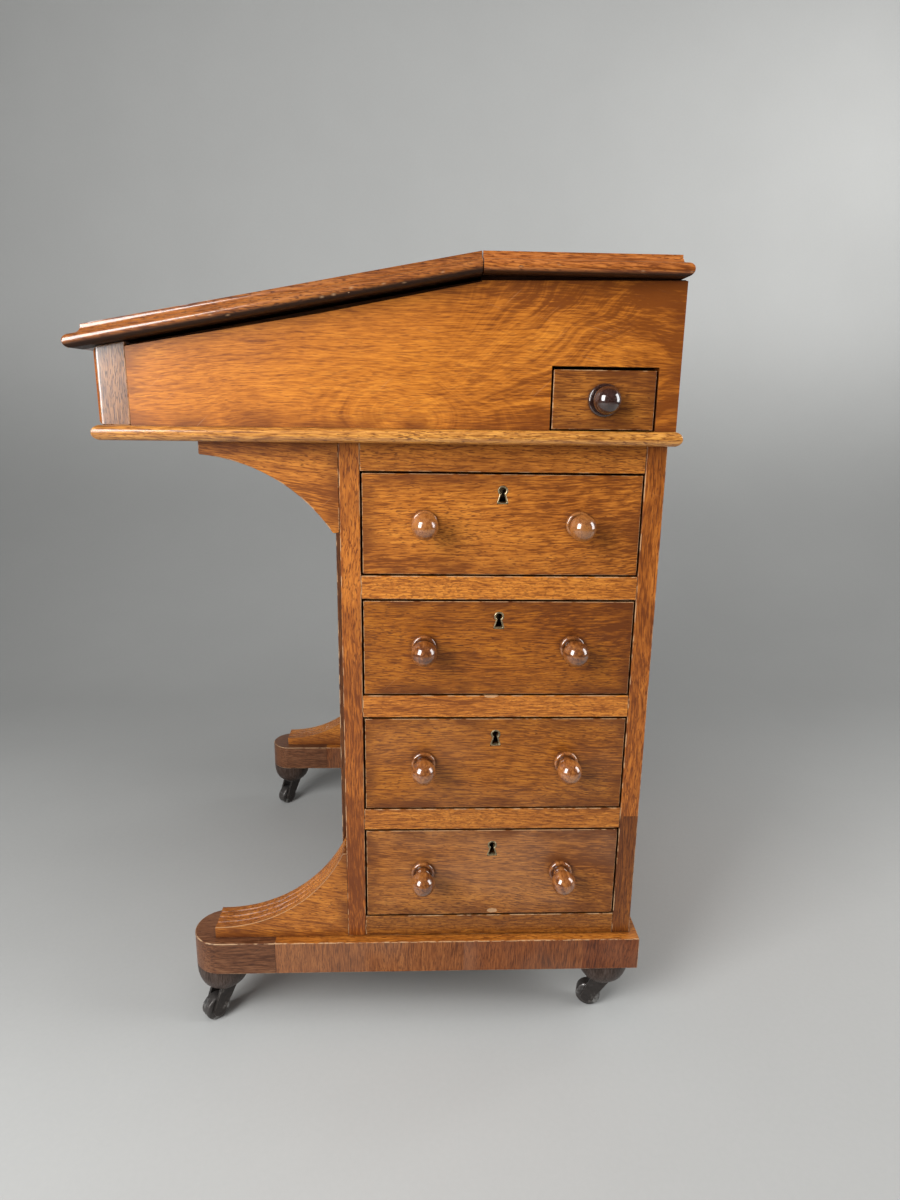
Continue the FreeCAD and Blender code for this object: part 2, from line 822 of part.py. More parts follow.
def lower_bracket(label, start_x):
    """A reeded, concave bracket on the foot, up the front of the pedestal."""
    front = PEDESTAL_FRONT_Y - size("lower_bracket_reach")
    top_z = FOOT_TOP_Z + size("lower_bracket_rise")
    curve_start = (front, FOOT_TOP_Z + size("lower_bracket_nose"))
    curve_end = (PEDESTAL_FRONT_Y - size("lower_bracket_tip"), top_z)
    steps = [
        ((PEDESTAL_FRONT_Y, FOOT_TOP_Z), None),
        ((PEDESTAL_FRONT_Y, top_z), None),
        (curve_end, (size("lower_bracket_radius"), False)),
        (curve_start, None),
        ((front, FOOT_TOP_Z), None),
    ]
    blank = side_profile(f"{label}_body", steps, start_x, size("stile_depth"))
    reeds = reed_cutters(label, start_x, curve_start, curve_end)
    return keep(cut(f"{label}_reeded", blank, reeds), label)


def brackets():
    for side, start_x in (("right", STILE_INNER_X), ("left", -PEDESTAL_X)):
        upper_bracket(f"upper_bracket_{side}", start_x)
        lower_bracket(f"lower_bracket_{side}", start_x)


# ---------------------------------------------------------------------------------------------
# Writing box
# ---------------------------------------------------------------------------------------------


def box_bottom():
    """The box's floor board, with a bullnose all round."""
    over = size("box_bottom_overhang")
    half = BOX_X + over
    front = BOX_FRONT_Y - over
    back = BOX_BACK_Y + over
    body = document.addObject("PartDesign::Body", "box_bottom_body")
    sketch = sketch_on(body, "XY_Plane", "box_bottom_outline")
    draw_outline(sketch, straight((-half, front), (half, front), (half, back), (-half, back)))
    slab = pad(body, sketch, size("box_bottom_thickness"), "box_bottom_slab")
    radius = size("box_bottom_thickness") / 2 - size("fillet_margin")
    fillet_where(body, slab, radius, "box_bottom_bullnose", lambda edge: edge.BoundBox.ZLength < TOUCH)
    place(body, z=PEDESTAL_TOP_Z)
    keep(body, "box_bottom")


def side_outline(with_notch):
    """Outline of a box side: level under the top board, sloping under the lid."""
    gap = size("top_thickness") + size("lid_side_gap") * cosine(size("slope_angle"))
    floor = BOX_FLOOR_Z
    steps = [(BOX_FRONT_INNER_Y, floor)]
    if with_notch:
        steps.append((PEN_OPENING_FRONT_Y, floor))
        steps.append((PEN_OPENING_FRONT_Y, PEN_OPENING_TOP_Z))
        steps.append((PEN_OPENING_BACK_Y, PEN_OPENING_TOP_Z))
        steps.append((PEN_OPENING_BACK_Y, floor))
    steps.append((BOX_BACK_Y, floor))
    steps.append((BOX_BACK_Y, TOP_UNDERSIDE_Z))
    steps.append((TOP_FRONT_Y, TOP_UNDERSIDE_Z))
    steps.append((TOP_FRONT_Y, slope_height(TOP_FRONT_Y, gap)))
    steps.append((BOX_FRONT_INNER_Y, slope_height(BOX_FRONT_INNER_Y, gap)))
    return straight(*steps)


def box_front():
    """The front board, its top edge bevelled to carry the closed lid."""
    gap = size("top_thickness") + size("lid_rest_gap") * cosine(size("slope_angle"))
    steps = straight(
        (BOX_FRONT_Y, BOX_FLOOR_Z),
        (BOX_FRONT_INNER_Y, BOX_FLOOR_Z),
        (BOX_FRONT_INNER_Y, slope_height(BOX_FRONT_INNER_Y, gap)),
        (BOX_FRONT_Y, slope_height(BOX_FRONT_Y, gap)),
    )
    blank = side_profile("box_front_blank", steps, -BOX_X, size("box_width"))
    pocket_low = (-size("lock_width") / 2, BOX_FRONT_INNER_Y - size("lock_thickness"), lock_bottom())
    pocket_high = (size("lock_width") / 2, BOX_FRONT_INNER_Y, size("desk_height"))
    recess = board("lock_recess", pocket_low, pocket_high)
    keep(cut("box_front_board", blank, recess), "box_front")


def lock_bottom():
    """Height of the lower edge of the lid lock."""
    return lock_top() - size("lock_height")


def lock_top():
    """Height of the lock's top edge, just under the closed lid at the lock's front face."""
    under = size("top_thickness") + size("lid_side_gap")
    return slope_height(BOX_FRONT_INNER_Y - size("lock_thickness"), under)


def box_shell():
    box_bottom()
    thickness = size("box_side_thickness")
    keep(side_profile("side_right", side_outline(True), BOX_INNER_X, thickness), "box_side_right")
    keep(side_profile("side_left", side_outline(False), -BOX_X, thickness), "box_side_left")
    box_front()
    low = (-BOX_INNER_X, BOX_BACK_INNER_Y, BOX_FLOOR_Z)
    keep(board("box_back_board", low, (BOX_INNER_X, BOX_BACK_Y, TOP_UNDERSIDE_Z)), "box_back")


def moulded_board(name, lower, upper, join_height):
    """A board across the desk, under the top's full width, with a round lower edge and a coved upper one.

    lower and upper are the outlines in Y and Z of its lower and upper layers, and join_height gives
    the height of the line between them at a place y. The board stays square along the ridge.
    """
    inset = size("mould_inset")
    width = 2 * TOP_X
    body = document.addObject("PartDesign::Body", name)
    sketch = sketch_on(body, "YZ_Plane", f"{name}_lower")
    draw_outline(sketch, lower)
    slab = pad(body, sketch, width, f"{name}_slab")

    def along_ridge(edge):
        return all(abs(vertex.Y - RIDGE_Y.value) < SIZES["ridge_gap"] for vertex in edge.Vertexes)

    def lower_edge(edge):
        """A long edge away from the ridge; the short uprights stay square."""
        return edge.Length > 2 * SIZES["mould_torus_height"] and not along_ridge(edge)

    round_radius = size("mould_torus_height") / 2 - size("fillet_margin")
    fillet_where(body, slab, round_radius, f"{name}_torus", lower_edge)
    layer = sketch_on(body, "YZ_Plane", f"{name}_upper", inset)
    draw_outline(layer, upper)
    raised = pad(body, layer, width - 2 * inset, f"{name}_raised")

    def cove_edge(edge):
        """An edge where the raised layer stands on the slab below."""
        middle = edge.valueAt((edge.FirstParameter + edge.LastParameter) / 2)
        level = abs(middle.z - join_height(as_formula(middle.y)).value) < TOUCH
        from_side = min(middle.x, width.value - middle.x)
        across = abs(edge.BoundBox.XLength - (width - 2 * inset).value) < TOUCH
        return level and not along_ridge(edge) and (across or abs(from_side - inset.value) < TOUCH)

    fillet_where(body, raised, MOULD_STEP - size("mould_cove_margin"), f"{name}_cove", cove_edge)
    place(body, x=-TOP_X)
    return body


def hinge_places():
    """The left end of each of the two hinges."""
    reach = BOX_X - size("hinge_inset")
    return {"right": reach - size("hinge_length"), "left": -reach}


def hinge_mortises(name):
    """Cutters that leave room for the hinges' knuckles and leaves, on both sides of the ridge."""
    gap = size("hinge_mortise_gap")
    clear = size("hinge_knuckle_radius") + gap
    tools = []
    for side, start in hinge_places().items():
        length = size("hinge_length") + 2 * gap
        tools.append(
            rod(
                f"{name}_knuckle_{side}",
                clear,
                length,
                start - gap,
                RIDGE_Y,
                size("desk_height"),
                (0, 1, 0),
                as_formula(90),
            )
        )
        leaf = size("ridge_gap") / 2 + size("hinge_leaf_thickness")
        drop = size("desk_height") - size("hinge_leaf_drop") - gap
        low = (start - gap, RIDGE_Y - leaf, drop)
        high = (start - gap + length, RIDGE_Y + leaf, size("desk_height") + clear)
        tools.append(board(f"{name}_leaf_{side}", low, high))
    return fuse(f"{name}_mortises", tools)


def top_board():
    """The level board behind the lid."""
    low = TOP_UNDERSIDE_Z
    step = size("desk_height") - MOULD_STEP
    inset = size("mould_inset")
    lower = straight((TOP_FRONT_Y, low), (BOX_BACK_Y, low), (BOX_BACK_Y, step), (TOP_FRONT_Y, step))
    upper = straight(
        (TOP_FRONT_Y, step),
        (BOX_BACK_Y - inset, step),
        (BOX_BACK_Y - inset, size("desk_height")),
        (TOP_FRONT_Y, size("desk_height")),
    )
    body = moulded_board("top_board_body", lower, upper, lambda y: step)
    keep(cut("top_board_cut", body, hinge_mortises("top_board")), "top_board")


def writing_slope():
    """The sloping lid, recessed for its leather and cut plumb at the ridge."""
    step = MOULD_STEP
    thickness = size("top_thickness")
    inset = size("mould_inset")
    lower = straight(
        (LID_BACK_Y, slope_height(LID_BACK_Y, thickness)),
        (LID_BACK_Y, slope_height(LID_BACK_Y, step)),
        slope_point(LID_LENGTH, step),
        slope_point(LID_LENGTH, thickness),
    )
    upper = straight(
        (LID_BACK_Y, slope_height(LID_BACK_Y, step)),
        (LID_BACK_Y, slope_height(LID_BACK_Y, ZERO)),
        slope_point(LID_LENGTH - inset, ZERO),
        slope_point(LID_LENGTH - inset, step),
    )
    body = moulded_board("lid_body", lower, upper, lambda y: slope_height(y, step))
    tools = fuse("lid_cutters", [leather_sheet("leather_recess"), hinge_mortises("lid")])
    keep(cut("lid_cut", body, tools), "writing_slope")
    keep(leather_sheet("leather_blank"), "slope_leather")


def leather_sheet(name):
    """The leather's own thin, sloping sheet."""
    top = size("leather_hinge_margin")
    bottom = LID_LENGTH - size("leather_margin")
    thickness = size("leather_thickness")
    steps = straight(
        slope_point(top, ZERO),
        slope_point(top, thickness),
        slope_point(bottom, thickness),
        slope_point(bottom, ZERO),
    )
    half = TOP_X - size("leather_margin")
    return side_profile(name, steps, -half, 2 * half)


def hinge_leaf(side, towards_lid):
    """One leaf of a butt hinge with its knuckles, as one solid."""
    start = hinge_places()[side]
    third = size("hinge_length") / 3
    gap = size("hinge_joint_gap")
    name = f"hinge_{'lid' if towards_lid else 'top'}_{side}"
    radius = size("hinge_knuckle_radius")
    axis = ((0, 1, 0), as_formula(90))
    if towards_lid:
        spans = [(start + third + gap / 2, third - gap)]
        face = (RIDGE_Y - size("ridge_gap") / 2 - size("hinge_leaf_thickness"), LID_BACK_Y)
    else:
        spans = [(start, third - gap / 2), (start + 2 * third + gap / 2, third - gap / 2)]
        face = (TOP_FRONT_Y, RIDGE_Y + size("ridge_gap") / 2 + size("hinge_leaf_thickness"))
    knuckles = [
        rod(f"{name}_knuckle_{n}", radius, length, x, RIDGE_Y, size("desk_height"), *axis)
        for n, (x, length) in enumerate(spans)
    ]
    drop = size("desk_height") - size("hinge_leaf_drop")
    # Beside the other leaf's knuckles the leaf stops short of them.
    clear_top = size("desk_height") - radius - size("hinge_mortise_gap")
    plate = board(f"{name}_plate", (start, face[0], drop), (start + size("hinge_length"), face[1], clear_top))
    webs = [
        board(f"{name}_web_{n}", (x, face[0], drop), (x + length, face[1], size("desk_height")))
        for n, (x, length) in enumerate(spans)
    ]
    solid = fuse(f"{name}_solid", knuckles + webs + [plate])
    bore = rod(
        f"{name}_bore",
        size("hinge_pin_radius") + size("running_clearance"),
        size("hinge_length"),
        start,
        RIDGE_Y,
        size("desk_height"),
        *axis,
    )
    return cut(f"{name}_bored", solid, bore)


def hinges():
    pins = [
        rod(
            f"hinge_pin_{side}",
            size("hinge_pin_radius"),
            size("hinge_length"),
            start,
            RIDGE_Y,
            size("desk_height"),
            (0, 1, 0),
            as_formula(90),
        )
        for side, start in hinge_places().items()
    ]
    fixed = [hinge_leaf(side, False) for side in hinge_places()]
    group("hinge_leaves_top", fixed + pins)
    group("hinge_leaves_lid", [hinge_leaf(side, True) for side in hinge_places()])


def lid_lock():
    """A box lock let into the inside of the front board."""
    half = size("lock_width") / 2
    low = (-half, BOX_FRONT_INNER_Y - size("lock_thickness"), lock_bottom())
    keep(board("lid_lock_case", low, (half, BOX_FRONT_INNER_Y, lock_top())), "lid_lock")


# ---------------------------------------------------------------------------------------------
# Drawers
# ---------------------------------------------------------------------------------------------


def keyhole_steps(centre, rim):
    """Outline of a keyhole: a round head on a foot that widens downwards, rim narrower all round."""
    y, z = centre
    head = size("keyhole_round_radius") - rim
    neck = size("keyhole_neck_half_width") - rim
    foot_half = size("keyhole_foot_half_width") - rim
    neck_z = z - square_root(head * head - neck * neck)
    foot_z = z - size("keyhole_foot_drop") + rim
    return [
        ((y - foot_half, foot_z), None),
        ((y + foot_half, foot_z), None),
        ((y + neck, neck_z), (head, True)),
        ((y, z + head), (head, True)),
        ((y - neck, neck_z), None),
    ]


def escutcheon(name, centre, face_x):
    """A brass keyhole lining, flush with the drawer's face."""
    body = document.addObject("PartDesign::Body", name)
    sketch = sketch_on(body, "YZ_Plane", f"{name}_outline")
    draw_outline(sketch, keyhole_steps(centre, ZERO))
    pad(body, sketch, size("escutcheon_depth"), f"{name}_pad")
    hole = sketch_on(body, "YZ_Plane", f"{name}_hole", size("escutcheon_depth"))
    draw_outline(hole, keyhole_steps(centre, size("keyhole_rim")))
    pocket(body, hole, size("escutcheon_depth"), f"{name}_pocket")
    place(body, x=face_x - size("escutcheon_depth"))
    return body


def knob_steps(disc_radius, disc_height, neck, ball, projection):
    """Outline of a turned knob with its tenon below z = 0."""
    tenon = size("knob_tenon_radius")
    length = size("knob_tenon_length")
    soft = size("knob_disc_softness")
    centre = projection - ball
    neck_top = centre - square_root(ball * ball - neck * neck)
    return [
        ((ZERO, -length), None),
        ((tenon, -length), None),
        ((tenon, ZERO), None),
        ((disc_radius, ZERO), None),
        ((disc_radius, disc_height - soft), (soft, True)),
        ((disc_radius - soft, disc_height), None),
        ((neck, disc_height), None),
        ((neck, neck_top), (ball, True)),
        ((ZERO, projection), None),
    ]


def drawer_knob(name, x, y, z):
    steps = knob_steps(
        size("knob_disc_radius"),
        size("knob_disc_height"),
        size("knob_neck_radius"),
        size("knob_ball_radius"),
        size("knob_projection"),
    )
    body = turned(name, steps)
    turn = as_formula(90 if x.value > 0 else -90)
    place(body, x, y, z, (0, 1, 0), turn)
    return body


def drawer_centre(number):
    """Middle height of a drawer's opening."""
    return OPENING_BOTTOMS[number - 1] + OPENING_HEIGHTS[number - 1] / 2


def drawer_front_corners(number):
    """Lowest and highest corners, in Y and Z, of a drawer's front."""
    gap = size("drawer_front_gap")
    floor = OPENING_BOTTOMS[number - 1]
    top = floor + OPENING_HEIGHTS[number - 1]
    return (
        (OPENING_FRONT_Y + gap, floor + gap),
        (OPENING_BACK_Y - gap, top - gap),
    )


def knob_places(number):
    half = size("knob_spacing") / 2
    height = drawer_centre(number) + size("knob_raise")
    return [(OPENING_MIDDLE_Y - half, height), (OPENING_MIDDLE_Y + half, height)]


def keyhole_place(number):
    return (OPENING_MIDDLE_Y, drawer_centre(number) + size("keyhole_raise"))


def drawer_front(number):
    """A solid front with holes for its knobs and a keyhole stepped for its lining."""
    (low_y, low_z), (high_y, high_z) = drawer_front_corners(number)
    thickness = size("drawer_front_thickness")
    name = f"drawer_{number}_front"
    body = document.addObject("PartDesign::Body", name)
    sketch = sketch_on(body, "YZ_Plane", f"{name}_outline")
    draw_outline(sketch, straight((low_y, low_z), (high_y, low_z), (high_y, high_z), (low_y, high_z)))
    pad(body, sketch, thickness, f"{name}_pad")
    centre = keyhole_place(number)
    lining = sketch_on(body, "YZ_Plane", f"{name}_lining", thickness)
    draw_outline(lining, keyhole_steps(centre, ZERO))
    pocket(body, lining, size("escutcheon_depth"), f"{name}_lining_recess")
    keyhole = sketch_on(body, "YZ_Plane", f"{name}_keyhole", thickness)
    draw_outline(keyhole, keyhole_steps(centre, size("keyhole_rim")))
    pocket(body, keyhole, thickness, f"{name}_keyhole_cut")
    for end, point in zip(("a", "b"), knob_places(number)):
        hole = sketch_on(body, "YZ_Plane", f"{name}_hole_{end}", thickness)
        draw_hole(hole, point, size("knob_tenon_radius"))
        pocket(body, hole, size("knob_tenon_length"), f"{name}_hole_cut_{end}")
    place(body, x=PEDESTAL_X - thickness)
    return keep(body, name)


def draw_hole(sketch, point, radius):
    """A circle of a bound radius about a bound point."""
    centre = FreeCAD.Vector(as_formula(point[0]).value, as_formula(point[1]).value, 0)
    edge = sketch.addGeometry(Part.Circle(centre, FreeCAD.Vector(0, 0, 1), radius.value), False)
    index = sketch.addConstraint(Sketcher.Constraint("Radius", edge, radius.value))
    sketch.setExpression(f"Constraints[{index}]", radius.text)
    fix_point(sketch, edge, 3, point)


def open_box(name, low, high, wall, floor_raise, floor_thickness):
    """Two sides, a back and a floor, open at the top and at the +X end where the front closes it."""
    low_x, low_y, low_z = low
    high_x, high_y, high_z = high
    floor = low_z + floor_raise
    return [
        board(f"{name}_side_a", low, (high_x, low_y + wall, high_z)),
        board(f"{name}_side_b", (low_x, high_y - wall, low_z), high),
        board(
            f"{name}_back",
            (low_x, low_y + wall, floor + floor_thickness),
            (low_x + wall, high_y - wall, high_z),
        ),
        board(
            f"{name}_floor",
            (low_x, low_y + wall, floor),
            (high_x, high_y - wall, floor + floor_thickness),
        ),
    ]


def drawer(number):
    """One of the four drawers: its front, carcase, knobs, keyhole lining and lock."""
    drawer_front(number)
    inner_x = PEDESTAL_X - size("drawer_front_thickness")
    gap = size("drawer_side_gap")
    floor = OPENING_BOTTOMS[number - 1]
    top = floor + OPENING_HEIGHTS[number - 1] - size("drawer_top_gap")
    low = (inner_x - size("drawer_length"), OPENING_FRONT_Y + gap, floor + size("drawer_running_gap"))
    high = (inner_x, OPENING_BACK_Y - gap, top)
    carcase = open_box(
        f"drawer_{number}",
        low,
        high,
        size("drawer_side_thickness"),
        size("drawer_bottom_raise"),
        size("drawer_bottom_thickness"),
    )
    group(f"drawer_{number}_carcase", carcase)
    knobs = [
        drawer_knob(f"drawer_{number}_knob_{end}", PEDESTAL_X, *point)
        for end, point in zip(("a", "b"), knob_places(number))
    ]
    group(f"drawer_{number}_knobs", knobs)
    centre_y, centre_z = keyhole_place(number)
    half = size("drawer_lock_width") / 2
    lock_top_z = centre_z + size("keyhole_round_radius") + size("keyhole_rim")
    lock_low = (
        inner_x - size("drawer_lock_thickness"),
        centre_y - half,
        lock_top_z - size("drawer_lock_height"),
    )
    fittings = [
        escutcheon(f"drawer_{number}_keyhole_lining", (centre_y, centre_z), PEDESTAL_X),
        board(f"drawer_{number}_lock_case", lock_low, (inner_x, centre_y + half, lock_top_z)),
    ]
    group(f"drawer_{number}_lock", fittings)


def dummy_drawers():
    """False drawer fronts, knobs and keyhole linings on the left side."""
    fronts = []
    knobs = []
    linings = []
    depth = size("escutcheon_depth")
    for number in (1, 2, 3, 4):
        (low_y, low_z), (high_y, high_z) = drawer_front_corners(number)
        name = f"dummy_{number}"
        body = document.addObject("PartDesign::Body", f"{name}_front")
        sketch = sketch_on(body, "YZ_Plane", f"{name}_outline")
        draw_outline(sketch, straight((low_y, low_z), (high_y, low_z), (high_y, high_z), (low_y, high_z)))
        pad(body, sketch, size("drawer_front_thickness"), f"{name}_pad")
        recess = sketch_on(body, "YZ_Plane", f"{name}_lining_outline", depth)
        draw_outline(recess, keyhole_steps(keyhole_place(number), ZERO))
        pocket(body, recess, depth, f"{name}_lining_recess")
        for end, point in zip(("a", "b"), knob_places(number)):
            hole = sketch_on(body, "YZ_Plane", f"{name}_hole_{end}", size("knob_tenon_length"))
            draw_hole(hole, point, size("knob_tenon_radius"))
            pocket(body, hole, size("knob_tenon_length"), f"{name}_hole_cut_{end}")
            knobs.append(drawer_knob(f"{name}_knob_{end}", -PEDESTAL_X, *point))
        place(body, x=-PEDESTAL_X)
        fronts.append(body)
        linings.append(escutcheon(f"{name}_lining", keyhole_place(number), -PEDESTAL_X + depth))
    group("dummy_drawer_fronts", fronts)
    group("dummy_drawer_knobs", knobs)
    group("dummy_keyhole_linings", linings)


# ---------------------------------------------------------------------------------------------
# Pen drawer
# ---------------------------------------------------------------------------------------------


def pen_drawer_housing():
    """Walls inside the box that the pen drawer slides between."""
    wall = size("pen_housing_wall")
    inner = BOX_INNER_X - size("pen_housing_length")
    wall_front = PEN_OPENING_FRONT_Y - wall
    top_z = PEN_OPENING_TOP_Z + size("pen_housing_top_thickness")
    pieces = [
        board(
            "pen_wall",
            (inner, wall_front, BOX_FLOOR_Z),
            (BOX_INNER_X, PEN_OPENING_FRONT_Y, PEN_OPENING_TOP_Z),
        ),
        board("pen_roof", (inner, wall_front, PEN_OPENING_TOP_Z), (BOX_INNER_X, BOX_BACK_INNER_Y, top_z)),
        board(
            "pen_end",
            (inner, PEN_OPENING_FRONT_Y, BOX_FLOOR_Z),
            (inner + wall, BOX_BACK_INNER_Y, PEN_OPENING_TOP_Z),
        ),
        board(
            "pen_guide",
            (inner + wall, PEN_OPENING_BACK_Y, BOX_FLOOR_Z),
            (BOX_INNER_X, BOX_BACK_INNER_Y, BOX_FLOOR_Z + size("pen_guide_height")),
        ),
    ]
    group("pen_drawer_housing", pieces)


def pen_drawer():
    """The small drawer in the box's right side, with its front, carcase and knob."""
    gap = size("drawer_front_gap")
    top_gap = size("pen_front_top_gap")
    thickness = size("pen_front_thickness")
    low = (BOX_X - thickness, PEN_OPENING_FRONT_Y + gap, BOX_FLOOR_Z + size("drawer_running_gap"))
    high = (BOX_X, PEN_OPENING_BACK_Y - gap, PEN_OPENING_TOP_Z - top_gap)
    knob_y = (low[1] + high[1]) / 2
    knob_z = (low[2] + high[2]) / 2
    blank = board("pen_front_blank", low, high)
    hole = rod(
        "pen_knob_hole",
        size("knob_tenon_radius"),
        size("knob_tenon_length"),
        BOX_X - size("knob_tenon_length"),
        knob_y,
        knob_z,
        (0, 1, 0),
        as_formula(90),
    )
    keep(cut("pen_front_drilled", blank, hole), "pen_drawer_front")
    back_x = BOX_X - thickness - size("pen_drawer_length")
    carcase = open_box(
        "pen_drawer",
        (back_x, low[1], low[2]),
        (BOX_X - thickness, high[1], high[2] - top_gap),
        size("drawer_bottom_thickness"),
        ZERO,
        size("drawer_bottom_thickness"),
    )
    group("pen_drawer_carcase", carcase)
    steps = knob_steps(
        size("pen_knob_disc_radius"),
        size("pen_knob_disc_height"),
        size("pen_knob_neck_radius"),
        size("pen_knob_ball_radius"),
        size("pen_knob_projection"),
    )
    knob = turned("pen_knob_turning", steps)
    place(knob, BOX_X, knob_y, knob_z, (0, 1, 0), as_formula(90))
    keep(knob, "pen_drawer_knob")


# ---------------------------------------------------------------------------------------------
# The whole desk
# ---------------------------------------------------------------------------------------------


def build():
    casters()
    plinth()
    pedestal_frame()
    pedestal_panels()
    drawer_runners()
    brackets()
    box_shell()
    top_board()
    writing_slope()
    hinges()
    lid_lock()
    pen_drawer_housing()
    for number in (1, 2, 3, 4):
        drawer(number)
    dummy_drawers()
    pen_drawer()
    document.recompute()


def check():
    """Stop if any object failed or any node's shape is empty or invalid."""
    failed = [o.Label for o in document.Objects if {"Invalid", "Error"} & set(o.State)]
    if failed:
        raise RuntimeError(f"failed objects: {failed}")
    empty = [n.Label for n in nodes if n.Shape.isNull() or not n.Shape.isValid() or not n.Shape.Solids]
    if empty:
        raise RuntimeError(f"empty or invalid nodes: {empty}")


def export():
    os.makedirs("parts", exist_ok=True)
    for node in nodes:
        node.Shape.exportStep(f"parts/{node.Label}.step")
    print(f"{len(nodes)} nodes")


build()
check()
export()
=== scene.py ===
"""A davenport desk, dressed: polished wood, brass, iron and leather over its solid frame.

Everything is in metres. X runs towards the working drawers, Y from the sitter to the back
of the desk and Z upwards from the floor.
"""

import json
import logging
import math
import random
from collections.abc import Callable
from dataclasses import dataclass
from enum import Enum
from functools import cache

import bmesh
import bpy
from mathutils import Matrix, Vector
from mathutils import noise as chaos

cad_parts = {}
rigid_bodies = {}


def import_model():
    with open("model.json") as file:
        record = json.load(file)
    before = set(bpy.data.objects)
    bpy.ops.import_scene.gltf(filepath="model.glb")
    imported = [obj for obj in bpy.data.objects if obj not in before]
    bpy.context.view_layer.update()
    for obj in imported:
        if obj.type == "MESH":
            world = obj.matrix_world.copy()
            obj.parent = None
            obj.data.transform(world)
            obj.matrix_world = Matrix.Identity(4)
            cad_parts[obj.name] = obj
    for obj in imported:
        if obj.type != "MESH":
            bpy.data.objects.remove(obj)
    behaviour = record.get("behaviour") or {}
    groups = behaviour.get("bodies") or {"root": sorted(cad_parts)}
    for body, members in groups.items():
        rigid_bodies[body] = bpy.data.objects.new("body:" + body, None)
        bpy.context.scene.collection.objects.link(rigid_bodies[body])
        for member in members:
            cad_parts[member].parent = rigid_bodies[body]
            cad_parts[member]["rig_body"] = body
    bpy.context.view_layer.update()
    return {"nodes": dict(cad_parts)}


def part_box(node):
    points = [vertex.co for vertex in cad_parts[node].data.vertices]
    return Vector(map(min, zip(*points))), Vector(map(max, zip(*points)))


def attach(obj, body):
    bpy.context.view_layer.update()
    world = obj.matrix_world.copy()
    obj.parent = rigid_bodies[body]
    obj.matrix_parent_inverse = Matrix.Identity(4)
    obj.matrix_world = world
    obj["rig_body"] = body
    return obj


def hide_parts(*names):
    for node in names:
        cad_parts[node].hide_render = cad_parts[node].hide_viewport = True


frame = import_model()

LOG = logging.getLogger("davenport")

Mesh = bmesh.types.BMesh
Colour = tuple[float, float, float]
Place = tuple[float, float, float]
Outline = list[tuple[float, float]]
MM = 0.001

# ---- Finishes ----


def tinted(colour: Colour, share: float | Colour) -> Colour:
    """Scale a colour, all alike or channel by channel.

    Args:
        colour: the colour to scale, linear.
        share: one factor, or one for each channel.

    Returns:
        The scaled colour, no channel above 1.
    """
    shares = share if isinstance(share, tuple) else (share, share, share)
    return tuple(min(1.0, c * s) for c, s in zip(colour, shares))


def pour(socket: bpy.types.NodeSocket, value: "Feed") -> None:
    """Link a value to a socket, or set it there.

    Args:
        socket: the input.
        value: a number, place or colour, or one that other nodes work out.
    """
    if isinstance(value, Value):
        socket.id_data.links.new(value.socket, socket)
    else:
        socket.default_value = (*value, 1.0) if socket.type == "RGBA" else value


def add(
    tree: bpy.types.NodeTree, kind: str, feeds: dict | None = None, out: int | str = 0,
    **settings: object,
) -> "Value":
    """Add a node.

    Args:
        tree: the material's nodes.
        kind: the node's type.
        feeds: what goes into each input, by its name or number.
        out: the output that is wanted, by its name or number.
        **settings: the node's own properties.

    Returns:
        That output.
    """
    node = tree.nodes.new("ShaderNode" + kind)
    for key, value in settings.items():
        setattr(node, key, value)
    for key, value in (feeds or {}).items():
        pour(node.inputs[key], value)
    return Value(node.outputs[out])


